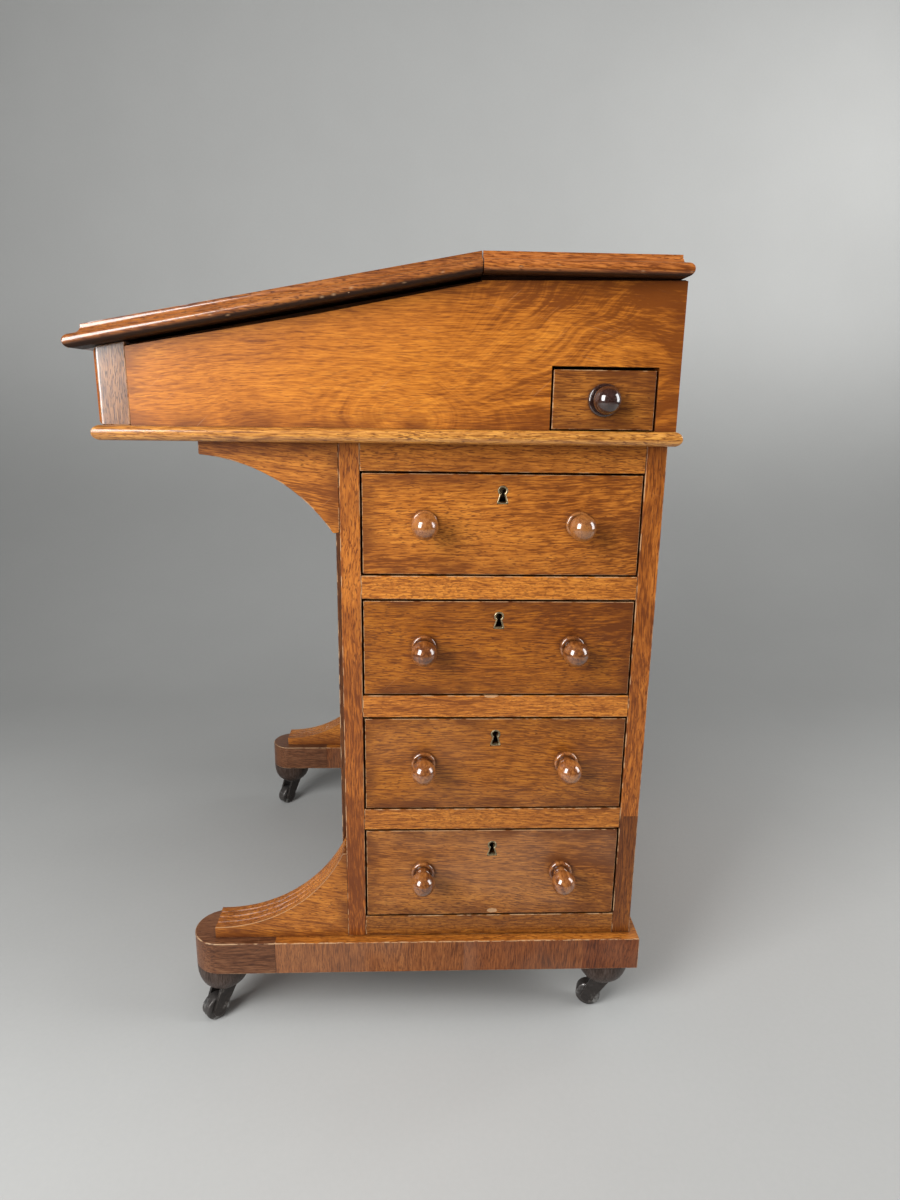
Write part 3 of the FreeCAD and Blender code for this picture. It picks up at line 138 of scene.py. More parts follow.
class Value:
    """A number, place or colour that a material's nodes work out, open to plain sums."""

    def __init__(self, socket: bpy.types.NodeSocket) -> None:
        """Hold a node's output."""
        self.socket = socket
        self.tree = socket.id_data

    def calc(self, how: str, *others: "Feed") -> "Value":
        """Return one sum on this number and up to two more."""
        return add(self.tree, "Math", dict(enumerate((self, *others))), operation=how)

    def __add__(self, other: "Feed") -> "Value":
        """Return the two numbers together."""
        return self.calc("ADD", other)

    def __mul__(self, other: "Feed") -> "Value":
        """Return one number times the other."""
        return self.calc("MULTIPLY", other)

    def __sub__(self, other: "Feed") -> "Value":
        """Return this number less another."""
        return self.calc("SUBTRACT", other)

    def __rsub__(self, other: float) -> "Value":
        """Return another number less this one."""
        return add(self.tree, "Math", {0: other, 1: self}, operation="SUBTRACT")

    def __abs__(self) -> "Value":
        """Return the number without its sign."""
        return self.calc("ABSOLUTE")

    __radd__, __rmul__ = __add__, __mul__

    def most(self, other: "Feed") -> "Value":
        """Return the greater of two numbers."""
        return self.calc("MAXIMUM", other)

    def least(self, other: "Feed") -> "Value":
        """Return the smaller of two numbers."""
        return self.calc("MINIMUM", other)

    def vary(self, share: float) -> "Value":
        """Return noise centred on nothing and scaled by a share."""
        return (self - 0.5) * share

    def ease(self, low: float, high: float, start: float = 0.0, end: float = 1.0) -> "Value":
        """Return a number that goes smoothly from start to end as this goes from low to high."""
        feeds = dict(enumerate((self, low, high, start, end)))
        return add(self.tree, "MapRange", feeds, interpolation_type="SMOOTHSTEP")

    def stretch(self, scale: "Feed") -> "Value":
        """Return a place with each axis scaled."""
        return add(self.tree, "VectorMath", {0: self, 1: scale}, operation="MULTIPLY")

    def moved(self, shift: "Feed") -> "Value":
        """Return a place moved by a step."""
        return add(self.tree, "VectorMath", {0: self, 1: shift}, operation="ADD")

    def join(self, y: "Feed", z: "Feed") -> "Value":
        """Return a place from this number and two more."""
        return add(self.tree, "CombineXYZ", {0: self, 1: y, 2: z})

    def split(self) -> list["Value"]:
        """Return a place's three numbers."""
        node = add(self.tree, "SeparateXYZ", {0: self}).socket.node
        return [Value(socket) for socket in node.outputs]

    def noise(
        self, scale: float | Place = 1.0, detail: float = 2.0, rough: float = 0.5
    ) -> "Value":
        """Return cloudy noise over a place.

        Args:
            scale: how many lumps there are to a metre, or to a metre of each axis.
            detail: how many times finer lumps are laid over it.
            rough: how strong the finer lumps are.

        Returns:
            The noise, from 0 to 1.
        """
        where = self.stretch(scale if isinstance(scale, tuple) else (scale, scale, scale))
        feeds = {"Vector": where, "Scale": 1.0, "Detail": detail, "Roughness": rough}
        return add(self.tree, "TexNoise", feeds)

    def blend(self, a: "Feed", b: "Feed") -> "Value":
        """Return a colour that goes from a to b as this goes from 0 to 1."""
        return add(self.tree, "Mix", {0: self, 6: a, 7: b}, 2, data_type="RGBA")

    def ramp(self, stops: list[tuple[float, Colour]]) -> "Value":
        """Turn a number into a colour.

        Args:
            stops: places along the ramp and their colours.

        Returns:
            The colour.
        """
        colour = add(self.tree, "ValToRGB", {0: self})
        elements = colour.socket.node.color_ramp.elements
        while len(elements) < len(stops):
            elements.new(0.5)
        for element, (spot, paint) in zip(elements, stops):
            element.position = spot
            element.color = (*paint, 1.0)
        return colour


Feed = float | tuple | Value


class Recipe:
    """A new material with its nodes and its shader."""

    def __init__(self, name: str) -> None:
        """Start a material with a plain shader.

        Args:
            name: the material's name.
        """
        self.material = bpy.data.materials.new(name)
        self.material.use_nodes = True
        self.tree = self.material.node_tree

    def place(self) -> Value:
        """Return where the point is on the piece."""
        return add(self.tree, "TexCoord", out="Object")

    def mark(self, name: str) -> Value:
        """Return a number that the mesh carries."""
        return add(self.tree, "Attribute", out="Fac", attribute_name=name)

    def facing(self, axis: int) -> Value:
        """Return how far the surface faces along an axis, from -1 to 1."""
        return add(self.tree, "NewGeometry", out="Normal").split()[axis]

    def serve(self, height: Value, depth: float, strength: float = 1.0, **feeds: Feed) -> None:
        """Set the shader's relief and its sockets.

        Args:
            height: how high each point stands, from 0 to 1.
            depth: how high 1 is.
            strength: how strongly the relief shows.
            **feeds: what goes into each socket, its name with underscores for spaces.
        """
        relief = {"Height": height, "Distance": depth, "Strength": strength}
        feeds["Normal"] = add(self.tree, "Bump", relief)
        for key, value in feeds.items():
            pour(self.tree.nodes["Principled BSDF"].inputs[key.replace("_", " ")], value)


class Grain(Enum):
    """The way a board's fibres run, as the order of its axes: along, across, through."""

    ACROSS = (0, 1, 2)
    DEEP = (1, 2, 0)
    UPRIGHT = (2, 1, 0)


@dataclass(frozen=True)
class Finish:
    """A finish of the desk, made into a material once.

    Attributes:
        name: the material's name.
    """

    name: str

    def mix(self, pot: Recipe) -> None:
        """Draw the finish, which each kind does its own way."""
        raise NotImplementedError

    @cache
    def make(self) -> bpy.types.Material:
        """Make the finish, or hand back what was made before.

        Returns:
            The material.
        """
        pot = Recipe(self.name)
        self.mix(pot)
        return pot.material


WOOD_TINTS = (
    (0.08, (0.42, 0.34, 0.27)),
    (0.36, (0.82, 0.78, 0.72)),
    (0.56, (1.06, 1.07, 1.06)),
    (0.92, (1.42, 1.62, 1.75)),
)
PORE_TINT = (0.36, 0.28, 0.22)
EDGE_GRIME_AND_SHADE_TINT = (0.30, 0.22, 0.20)
CORNER_SHADE_TINT = (0.16, 0.10, 0.12)
MILKY_POLISH_AND_SHEEN = (0.34, 0.255, 0.19)
RUBBED_WOOD = (0.58, 0.38, 0.21)
PORE_SIZE = 0.62
# How far apart two trees lie in the noise: along, across and through their fibres.
TREE_STEPS = (1.37, 0.51, 0.83)


@dataclass(frozen=True)
class Timber(Finish):
    """One board's wood and polish. Shares run from 0 to 1.

    Attributes:
        tone: the wood's middle colour, linear.
        grain: the way its fibres run.
        tree: which part of the tree it was cut from, any number.
        clouds: how much large patches differ.
        bands: how plain the growth bands are.
        ribbons: how plain the stripes along the fibres are.
        fibre: how plain the fine fibres are.
        pores: how dark the open pores are.
        pore_length: a pore's length.
        pore_width: a pore's width.
        pore_share: how much of the face the pores take up.
        tilt: how far the fibres lean from the board's length, as a slope.
        pith: how far off the tree's middle lay, across and through.
        polish: how strong the polish's own gloss is.
        gloss: how blurred the polish's reflections are.
        lustre: how strongly the polish mirrors, as an index of refraction.
        satin: how blurred the wood's own reflections are.
        wear: how much of the arrises is rubbed pale.
        rim_of: the frame node whose edges are darkened by soiling and painted shade, or nothing.
        edge_grime_and_shade: how dark that soiling and painted shade are.
        crotch: whether its fibres sweep up and away from a knot.
        knot: where that is, in Y and Z.
        bloom_and_sheen: how milky the polish has turned in patches; on the front's ends it stands
            in for a painted sheen.
        scratches: how plain the fine scratches are.
        under: how dark the painted shade is on the faces that look down.
        beyond: how far from the middle that painted shade starts.
        turn: how steep a face must be to take that painted shade, as the height of its normal.
        scar: a chip of bare wood, as its Y, Z, half length and half height.
        chips: how many tiny pale chips there are.
        painted_flank_shade: how dark the painted shade is on the faces that look neither right
            nor left.
        painted_falloff: a painted light falloff, where it darkens: an axis, two places on it and
            the amount at each.
        corners: how dark the painted shade in its inner corners is, from ambient occlusion.
        depth: how deep the grain stands in relief.
    """

    tone: Colour
    grain: Grain
    tree: float
    clouds: float = 1.0
    bands: float = 0.6
    ribbons: float = 0.9
    fibre: float = 2.3
    pores: float = 0.9
    pore_length: float = 4 * MM
    pore_width: float = 0.62 * MM
    pore_share: float = 0.34
    tilt: float = 0.0
    pith: tuple[float, float] = (0.12, 0.09)
    polish: float = 0.45
    gloss: float = 0.3
    lustre: float = 1.5
    satin: float = 0.5
    wear: float = 0.45
    rim_of: str = ""
    edge_grime_and_shade: float = 0.35
    crotch: bool = False
    knot: tuple[float, float] = (0.03, 0.69)
    bloom_and_sheen: float = 0.0
    scratches: float = 0.12
    under: float = 0.0
    beyond: float = 0.0
    turn: float = -0.2
    scar: tuple[float, float, float, float] | None = None
    chips: float = 0.0
    painted_flank_shade: float = 0.0
    painted_falloff: tuple[int, float, float, float, float] | None = None
    corners: float = 0.65
    depth: float = 0.12 * MM

    def along(self, place: Value) -> Value:
        """Return the place in the tree, with its first axis along the fibres.

        Args:
            place: the place on the piece.

        Returns:
            Along, across and through the fibres.
        """
        parts = place.split()
        along, across, through = (parts[i] for i in self.grain.value)
        leaning = along.calc("MULTIPLY_ADD", self.tilt, across)
        far, wide, deep = (self.tree * step for step in TREE_STEPS)
        return (along + far).join(leaning + wide, through + deep)

    def bent(self, where: Value) -> Value:
        """Return the place with the fibres wandering a little.

        Args:
            where: the place in the tree.

        Returns:
            The place, moved.
        """
        slow = where.noise((2.2, 7.0, 7.0), 1.0).vary(0.045)
        quick = where.noise((14.0, 30.0, 30.0), 1.0).vary(0.006)
        return where.moved((slow + quick).stretch((0.0, 1.0, 0.7)))

    def growth(self, where: Value) -> Value:
        """Return the growth bands, rings about a pith that lay beside the board.

        Args:
            where: the place in the tree.

        Returns:
            How light the wood is, from 0 to 1.
        """
        _, side, depth = where.split()
        side = side + (self.pith[0] - self.tree * TREE_STEPS[1])
        depth = depth + (self.pith[1] - self.tree * TREE_STEPS[2])
        ring = (side * side + depth * depth).calc("SQRT")
        return (ring * 130.0).join(self.tree, 0.0).noise(1.0, 3.0, 0.6)

    def swept(self, place: Value) -> Value:
        """Return a figure whose fibres sweep up and away from a knot at the board's foot.

        Args:
            place: the place on the piece.

        Returns:
            How light the wood is, either side of 0.5.
        """
        _, y, z = place.split()
        y, z = y - self.knot[0], z - self.knot[1]
        swirl = (y * 8.0).join(self.tree, z * 11.0).noise()
        flat = y * 0.5
        reach = (flat * flat + z * z).calc("SQRT") + swirl.vary(0.05)
        turn = z.calc("ARCTAN2", y) + swirl.vary(0.5)
        rays = (turn * 24.0).join(reach * 11.0, 1.7).noise(1.0, 4.0, 0.65)
        rings = (reach * 150.0).join(y * 9.0, 4.2).noise(1.0, 4.0, 0.65)
        near = reach.ease(0.03, 0.075, 1.0, 0.0)
        return 0.5 + rays.vary(1.5) * y.ease(0.0, 0.12) + rings.vary(1.3) * near

    def scratched(self, place: Value, where: Value) -> Value:
        """Return fine straight scratches that run two ways, in patches.

        Args:
            place: the place on the piece.
            where: the place in the tree.

        Returns:
            1 in a scratch, 0 beside it.
        """
        _, y, z = place.split()
        flat = (y + self.tree).join(z, 0.0)
        ways = []
        for angle, shift in ((0.35, 3.0), (-0.75, 7.0)):
            feeds = {"Vector": flat, "Angle": angle}
            leaning = add(flat.tree, "VectorRotate", feeds, rotation_type="Z_AXIS")
            lines = leaning.stretch((20.0, 620.0, 0.0)).moved((shift, shift, 0.0))
            ways.append(lines.noise(1.0, 0.0).ease(0.76, 0.86))
        return ways[0].most(ways[1]) * where.noise(14.0, 1.0).ease(0.45, 0.65)

    def scarred(self, place: Value) -> Value:
        """Return the chip of bare wood, with a ragged edge.

        Args:
            place: the place on the piece.

        Returns:
            1 in the chip, 0 beside it.
        """
        _, y, z = place.split()
        mid_y, mid_z, half_y, half_z = self.scar
        y, z = (y - mid_y) * (1.0 / half_y), (z - mid_z) * (1.0 / half_z)
        ragged = place.noise((300.0, 260.0, 420.0), 3.0).vary(1.6)
        return (y * y + z * z + ragged).ease(0.75, 1.0, 1.0, 0.0)

    def border(self, place: Value) -> Value:
        """Return how near the point is to the board's edges, from 0 inside to 1 at an edge.

        Args:
            place: the place on the piece.

        Returns:
            How near it is.
        """
        x, y, z = (
            (high - low) / 2 - abs(part - (low + high) / 2)
            for part, low, high in zip(place.split(), *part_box(self.rim_of))
        )
        return x.least(y).most(x.most(y).least(z)).ease(0.0, 0.022, 1.0, 0.0)

    def worn(self, pot: Recipe, place: Value, where: Value) -> Value:
        """Return where the polish is gone: arrises, knocks, scratches and chips.

        Args:
            pot: the material.
            place: the place on the piece.
            where: the place in the tree.

        Returns:
            0 where it is whole, 1 where the wood is bare.
        """
        rub = where.noise((60.0, 160.0, 160.0), 3.0, 0.6)
        rub = rub.ease(0.62 - 0.28 * self.wear, 0.74 - 0.28 * self.wear)
        worn = (rub * pot.mark("arris")).most(pot.mark("bruise"))
        if self.scratches:
            worn = worn.most(self.scratched(place, where) * self.scratches)
        if self.scar:
            worn = worn.most(self.scarred(place))
        if self.chips:
            speckle = where.noise((190.0, 460.0, 460.0), 2.0, 0.6)
            worn = worn.most(speckle.ease(0.80 - 0.1 * self.chips, 0.84 - 0.1 * self.chips))
        return worn

    def mix(self, pot: Recipe) -> None:
        """Draw the wood and lay its soiling, its wear and its polish over it, with painted shade
        and a painted light falloff.

        Args:
            pot: the material.
        """
        place = pot.place()
        where = self.along(place)
        bent = self.bent(where)
        clouds = where.noise((5.0, 17.0, 17.0), 3.0, 0.55)
        drawing = self.swept(place) if self.crotch else self.growth(bent)
        ribbons = bent.noise((6.0, 330.0, 330.0), 4.0, 0.65)
        fibre = bent.noise((60.0, 780.0, 780.0), 2.0, 0.6)
        value = 0.5 + clouds.vary(self.clouds) + drawing.vary(self.bands)
        value = value + ribbons.vary(self.ribbons) + fibre.vary(self.fibre)
        # Painted light falloff: the wood darkens along one axis.
        if self.painted_falloff:
            axis, *span = self.painted_falloff
            value = value - place.split()[axis].ease(*span)
        colour = value.ramp([(spot, tinted(self.tone, tint)) for spot, tint in WOOD_TINTS])
        across = PORE_SIZE / self.pore_width
        speck = bent.noise((PORE_SIZE / self.pore_length, across, across), 1.0)
        edge = (0.72 - 0.3 * self.pore_share) + clouds.ease(0.3, 0.7, 0.05, -0.05)
        open_pore = (speck - edge).ease(-0.05, 0.08)
        pore = open_pore * self.pores
        colour = pore.blend(colour, tinted(self.tone, PORE_TINT))
        # Milky patches of old polish, which on the front's ends are a painted sheen.
        if self.bloom_and_sheen:
            milky = where.noise((6.0, 9.0, 9.0), 3.0).ease(0.42, 0.62)
            colour = (milky * self.bloom_and_sheen).blend(colour, MILKY_POLISH_AND_SHEEN)
        # Darker in patches near the board's edges: soiling, and partly painted shade.
        if self.rim_of:
            rim = self.border(place) * where.noise((30.0, 45.0, 45.0)).ease(0.3, 0.65)
            colour = (rim * self.edge_grime_and_shade).blend(colour, tinted(self.tone, EDGE_GRIME_AND_SHADE_TINT))
        # Painted shade: darker where ambient occlusion finds inner corners and joints.
        near = add(pot.tree, "AmbientOcclusion", {"Distance": 5 * MM}, "AO", samples=4)
        corner_shade = near.ease(0.45, 0.95, self.corners, 0.0)
        colour = corner_shade.blend(colour, tinted(self.tone, CORNER_SHADE_TINT))
        sheen: Feed = self.polish
        # Painted shade: faces that look down, out at the mouldings, turn dark and lose their
        # polish.
        if self.under:
            low = pot.facing(2).ease(self.turn - 0.55, self.turn, self.under, 0.0)
            low = low * abs(place.split()[0]).ease(self.beyond, self.beyond + 4 * MM)
            colour = low.blend(colour, tinted(self.tone, 0.04))
            sheen = (1.0 - low) * self.polish
        # Painted shade: faces that look neither right nor left are darkened.
        if self.painted_flank_shade:
            flank_shade_share = abs(pot.facing(0)).ease(0.2, 0.6, self.painted_flank_shade, 0.0)
            colour = flank_shade_share.blend(colour, tinted(self.tone, 0.12))
        worn = self.worn(pot, place, where)
        pale = tuple(0.3 * own + 0.7 * bare for own, bare in zip(self.tone, RUBBED_WOOD))
        smear = where.noise((12.0, 22.0, 22.0), 3.0).vary(0.22)
        pot.serve(
            fibre * 0.25 + ribbons * 0.25 - open_pore * 0.8 - worn * 1.5, self.depth,
            Base_Color=(worn * 0.8).blend(colour, pale),
            Roughness=self.satin + smear + pore * 0.18,
            Specular_IOR_Level=0.2, Coat_Weight=sheen, Coat_IOR=self.lustre,
            Coat_Roughness=self.gloss,
        )


@dataclass(frozen=True)
class Metal(Finish):
    """A metal with a dull skin and brighter rubbed places.

    Attributes:
        skin: the colour of its dull skin.
        bright: the colour where it is rubbed.
        rubbed: how much of it is rubbed bright, from 0 to 1.
        dull_rough: how blurred the skin's reflections are.
        bright_rough: how blurred the rubbed places' reflections are.
    """

    skin: Colour
    bright: Colour
    rubbed: float
    dull_rough: float
    bright_rough: float

    def mix(self, pot: Recipe) -> None:
        """Draw the skin, with bright metal where hands and floors have rubbed it.

        Args:
            pot: the material.
        """
        place = pot.place()
        lumps = place.noise(260.0, 4.0, 0.6)
        stains = place.noise(70.0, 3.0, 0.6)
        soft = add(pot.tree, "Bevel", {"Radius": 1.2 * MM}, samples=4)
        hard = add(pot.tree, "NewGeometry", out="True Normal")
        feeds = {0: soft, 1: hard}
        even = add(pot.tree, "VectorMath", feeds, "Value", operation="DOT_PRODUCT")
        share = stains.ease(0.75 - 0.5 * self.rubbed, 0.95 - 0.5 * self.rubbed)
        share = share + (1.0 - even).ease(0.02, 0.2) * 0.8 + pot.mark("arris")
        share = (share * lumps.ease(0.2, 0.6)).least(1.0)
        dark = lumps.ease(0.25, 0.75).blend(tinted(self.skin, 0.6), self.skin)
        rough = share.ease(0.0, 1.0, self.dull_rough, self.bright_rough)
        pot.serve(
            lumps, 0.15 * MM, Base_Color=share.blend(dark, self.bright),
            Metallic=share.ease(0.0, 0.8, 0.55, 1.0), Roughness=rough + lumps.vary(0.3),
        )


@dataclass(frozen=True)
class Hide(Finish):
    """Dyed leather with a tooled border.

    Attributes:
        half_width: half the sheet's width, across the desk.
        front: the front end, measured along the slope.
        back: the back end, measured along the slope.
        slope: the angle of the slope.
        dye: the leather's colour.
        rubbed: its colour where arms have rubbed it.
        gilt: the colour of the tooled lines.
        border: how far in from the edge the outer line runs.
    """

    half_width: float
    front: float
    back: float
    slope: float
    dye: Colour = (0.020, 0.052, 0.030)
    rubbed: Colour = (0.055, 0.085, 0.045)
    gilt: Colour = (0.50, 0.34, 0.11)
    border: float = 9 * MM

    def line(self, gap: Value, at: float, wide: float) -> Value:
        """Return a thin line a fixed distance in from the edge."""
        return abs(gap - at).ease(wide * 0.4, wide * 0.6, 1.0, 0.0)

    def mix(self, pot: Recipe) -> None:
        """Draw the skin's grain, its patchy dye and the gilt lines.

        Args:
            pot: the material.
        """
        place = pot.place()
        x, y, z = place.split()
        down = y * math.cos(self.slope) + z * math.sin(self.slope)
        middle, half = (self.front + self.back) / 2, (self.back - self.front) / 2
        gap = (self.half_width - abs(x)).least(half - abs(down - middle))
        tooled = self.line(gap, self.border, 1.6 * MM)
        tooled = tooled.most(self.line(gap, self.border + 6 * MM, 0.8 * MM))
        gilded = tooled * place.noise(55.0, 4.0, 0.65).ease(0.36, 0.5)
        feeds = {"Vector": place, "Scale": 1100.0}
        creases = add(pot.tree, "TexVoronoi", feeds, feature="DISTANCE_TO_EDGE").ease(0.0, 0.25)
        patches = place.noise((9.0, 12.0, 12.0), 4.0, 0.6)
        pale = tinted(self.dye, (2.1, 1.7, 1.9))
        dyed = patches.ramp([(0.25, tinted(self.dye, 0.55)), (0.5, self.dye), (0.8, pale)])
        handled = place.noise((4.0, 6.0, 6.0), 3.0).ease(0.45, 0.7) * 0.35
        dyed = handled.blend(dyed, self.rubbed)
        dyed = creases.ease(0.0, 1.0, 0.45, 0.0).blend(dyed, tinted(self.dye, 0.4))
        pot.serve(
            creases - tooled * 1.2, 0.12 * MM, Base_Color=gilded.blend(dyed, self.gilt),
            Metallic=gilded * 0.85, Roughness=0.6 + patches.vary(0.3), Specular_IOR_Level=0.3,
        )


@dataclass(frozen=True)
class Sweep(Finish):
    """Seamless studio paper, a little mottled, with painted shade at its bend and painted light
    up its wall.

    Attributes:
        tone: the paper's colour.
        bend_shade: how bright the painted shade leaves the paper where it bends, against its
            floor.
    """

    tone: Colour = (0.408, 0.411, 0.402)
    bend_shade: float = 0.75

    def mix(self, pot: Recipe) -> None:
        """Draw the paper, with painted shade where it bends and painted light higher up the wall.

        Args:
            pot: the material.
        """
        place = pot.place()
        speck = place.noise(160.0)
        value = 0.5 + place.noise(3.0, 4.0, 0.6).vary(0.6) + speck.vary(0.3)
        colour = value.ramp([(0.1, tinted(self.tone, 0.93)), (0.9, tinted(self.tone, 1.05))])
        x, _, z = place.split()
        # Painted light and shade: darker at the bend, brighter up the wall.
        shade = x.ease(-0.9, 0.4, self.bend_shade, 1.0).most(z.ease(0.3, 1.1, self.bend_shade, 1.25))
        pot.serve(
            speck, 0.1 * MM, 0.4, Base_Color=colour.stretch(shade), Roughness=0.85,
            Specular_IOR_Level=0.2,
        )


SIDE_WOOD: Colour = (0.47, 0.146, 0.014)
DRAWER_WOOD: Colour = (0.35, 0.123, 0.018)
RAIL_WOOD: Colour = (0.43, 0.138, 0.017)
STILE_WOOD: Colour = (0.34, 0.098, 0.012)
BASE_WOOD: Colour = (0.21, 0.060, 0.014)
NOSE_WOOD: Colour = (0.135, 0.050, 0.020)
TOP_WOOD: Colour = (0.36, 0.108, 0.020)
KNOB_WOOD: Colour = (0.25, 0.083, 0.019)
BUN_WOOD: Colour = (0.055, 0.034, 0.026)
BARE_WOOD: Colour = (0.42, 0.27, 0.13)
DARK_KNOB_WOOD: Colour = (0.035, 0.013, 0.009)
OLD_BRASS = Metal("old_brass", (0.20, 0.155, 0.085), (0.62, 0.50, 0.30), 0.6, 0.42, 0.25)
OLD_IRON = Metal("old_iron", (0.050, 0.042, 0.038), (0.30, 0.27, 0.25), 0.35, 0.42, 0.3)
TREAD_IRON = Metal("worn_tread_iron", (0.09, 0.08, 0.075), (0.40, 0.39, 0.38), 0.45, 0.42, 0.32)

# ---- The bench: shared ways of shaping and setting pieces ----

# Waves to a metre and their depth, as a share of the arris, in a round eased by hand.
SWAY_SCALE, SWAY_DEPTH = 45.0, 0.15
# The least and greatest radius of a knock in mm, and its depth as a share of the arris.
KNOCK_REACH, KNOCK_DEPTH = (1.5, 5.0), (0.25, 0.8)
# Flats to a metre and their depth in mm, on turned work.
FLAT_SCALE, FLAT_DEPTH = 130.0, 0.12
MOST_CUTS = 400


def cut(
    work: Mesh, axis: int, at: float, parts: list | None = None, near: float = 1e-7
) -> list[bmesh.types.BMFace]:
    """Cut a mesh along a plane.

    Args:
        work: the mesh.
        axis: the axis that the plane stands across.
        at: where on that axis it stands.
        parts: the faces, edges and points to cut, or all of them.
        near: how near a point has to be to lie in the plane.

    Returns:
        The faces of those parts after the cut.
    """
    facing = Vector([float(axis == i) for i in range(3)])
    made = bmesh.ops.bisect_plane(
        work, geom=parts or [*work.verts, *work.edges, *work.faces], plane_co=facing * at,
        plane_no=facing, dist=near,
    )
    return [part for part in made["geom"] if isinstance(part, bmesh.types.BMFace)]


def lifted(node: str, halved: tuple[float, ...] = ()) -> Mesh:
    """Copy a solid of the frame, closed up and with its flat faces whole.

    Args:
        node: the frame node to copy.
        halved: the Y of each cut that keeps a face with holes in simple parts.

    Returns:
        The working mesh.
    """
    work = bmesh.new()
    work.from_mesh(frame["nodes"][node].data)
    bmesh.ops.remove_doubles(work, verts=work.verts, dist=1e-6)
    for spot in halved:
        cut(work, 1, spot, near=1e-6)

    def kept(*points: bmesh.types.BMVert) -> bool:
        """Say whether points lie in one of the cuts together."""
        return any(all(abs(point.co.y - spot) < 2e-6 for point in points) for spot in halved)

    bmesh.ops.dissolve_limit(
        work, angle_limit=math.radians(0.25), verts=[v for v in work.verts if not kept(v)],
        edges=[edge for edge in work.edges if not kept(*edge.verts)],
    )
    return work


def dint(points: list[bmesh.types.BMVert], at: Vector, reach: float, depth: float,
         bruise: object, mark: float = 1.0) -> None:
    """Press one round hollow into a surface.

    Args:
        points: the points that it can move.
        at: its middle.
        reach: its radius.
        depth: how deep it is.
        bruise: the layer that remembers it.
        mark: how plain it is, from 0 to 1.
    """
    for vert in points:
        gap = (vert.co - at).length
        if gap < reach:
            share = 1.0 - (gap / reach) ** 2
            vert.co -= vert.normal * depth * share
            vert[bruise] = max(vert[bruise], mark * share)


def soften(
    work: Mesh, arris: float, seed: int, step: float = 5 * MM, knocks: float = 12.0,
    least: float = 25.0, shortest: float = 0.0,
) -> None:
    """Ease a piece's arrises by hand: narrow rounds that wander a little and have small knocks.

    Args:
        work: the mesh to work on.
        arris: the width of the round.
        seed: a number that fixes where the knocks fall.
        step: the length of each stretch of round.
        knocks: knocks to each metre of arris.
        least: the smallest angle in degrees that counts as an arris.
        shortest: the length of edge that is too short to ease.
    """
    chance = random.Random(seed)
    rounds = work.faces.layers.float.new("arris")
    bruise = work.verts.layers.float.new("bruise")
    limit = math.radians(least)
    sharp = [
        edge for edge in work.edges
        if len(edge.link_faces) == 2 and edge.calc_face_angle(0.0) > limit
        and edge.calc_length() > shortest
    ]
    eased = []
    for edge in sharp:
        cuts = min(int(edge.calc_length() / step), MOST_CUTS)
        eased.append(edge)
        if cuts:
            parts = bmesh.ops.bisect_edges(work, edges=[edge], cuts=cuts)["geom_split"]
            eased += [part for part in parts if isinstance(part, bmesh.types.BMEdge)]
    made = bmesh.ops.bevel(
        work, geom=list(dict.fromkeys(edge for edge in eased if edge.is_valid)), offset=arris,
        segments=2, profile=0.55, affect="EDGES", clamp_overlap=True,
    )
    fresh = set(made["faces"])
    for face in fresh:
        face[rounds] = 1.0
    work.normal_update()
    crest = [v for v in made["verts"] if v.is_valid and all(f in fresh for f in v.link_faces)]
    for vert in crest:
        sway = chaos.noise(vert.co * SWAY_SCALE + Vector((seed, 0, 0)))
        vert.co += vert.normal * (sway - 1.0) * arris * SWAY_DEPTH
    for _ in range(int(len(crest) * step * knocks)):
        at = chance.choice(crest).co.copy()
        reach = chance.uniform(*KNOCK_REACH) * MM
        dint(crest, at, reach, chance.uniform(*KNOCK_DEPTH) * arris, bruise)


def eased_in(work: Mesh, gap: float) -> None:
    """Plane a drawer front's four edges back, so that an old, loose gap shows round it.

    Args:
        work: the front.
        gap: how far back they are planed.
    """
    for axis in (1, 2):
        spread = [vert.co[axis] for vert in work.verts]
        for vert in work.verts:
            if vert.co[axis] < min(spread) + 0.1 * MM:
                vert.co[axis] += gap
            elif vert.co[axis] > max(spread) - 0.1 * MM:
                vert.co[axis] -= gap


def slice_up(work: Mesh, axis: int, step: float, within: Callable[[Vector], bool]) -> None:
    """Cut some of a mesh's faces across at even steps, so that they can be worked.

    Args:
        work: the mesh.
        axis: the axis that the cuts stand across.
        step: how far apart the cuts are.
        within: says by a face's middle whether it is cut.
    """
    zone = [face for face in work.faces if within(face.calc_center_median())]
    spread = [vert.co[axis] for face in zone for vert in face.verts]
    at = min(spread) + step * 0.6
    while at < max(spread):
        parts = {part for face in zone for part in (face, *face.edges, *face.verts)}
        zone = cut(work, axis, at, list(parts), 1e-6)
        at += step


def turned(outline: Outline, seed: int, rounds: int = 56) -> Mesh:
    """Turn an outline about the Z axis, with small flats and dints left by use.

    Args:
        outline: radius and height of each point, the first and last on the axis.
        seed: fixes the flats and dints.
        rounds: how many steps go round.

    Returns:
        The working mesh.
    """
    work = bmesh.new()
    rings = []
    for radius, height in outline:
        turns = [2 * math.pi * i / rounds for i in range(rounds if radius > 1e-7 else 1)]
        rings.append([
            work.verts.new((radius * math.cos(turn), radius * math.sin(turn), height))
            for turn in turns
        ])
    for low, high in zip(rings, rings[1:]):
        for i in range(rounds):
            j = (i + 1) % rounds
            near, far = (i % len(low), j % len(low)), (j % len(high), i % len(high))
            corners = dict.fromkeys([*(low[k] for k in near), *(high[k] for k in far)])
            if len(corners) > 2:
                work.faces.new(list(corners))
    bmesh.ops.recalc_face_normals(work, faces=work.faces)
    for vert in work.verts:
        sway = chaos.noise(vert.co * FLAT_SCALE + Vector((seed * 3.1, 0, 0)))
        vert.co += vert.normal * sway * FLAT_DEPTH * MM
    return work


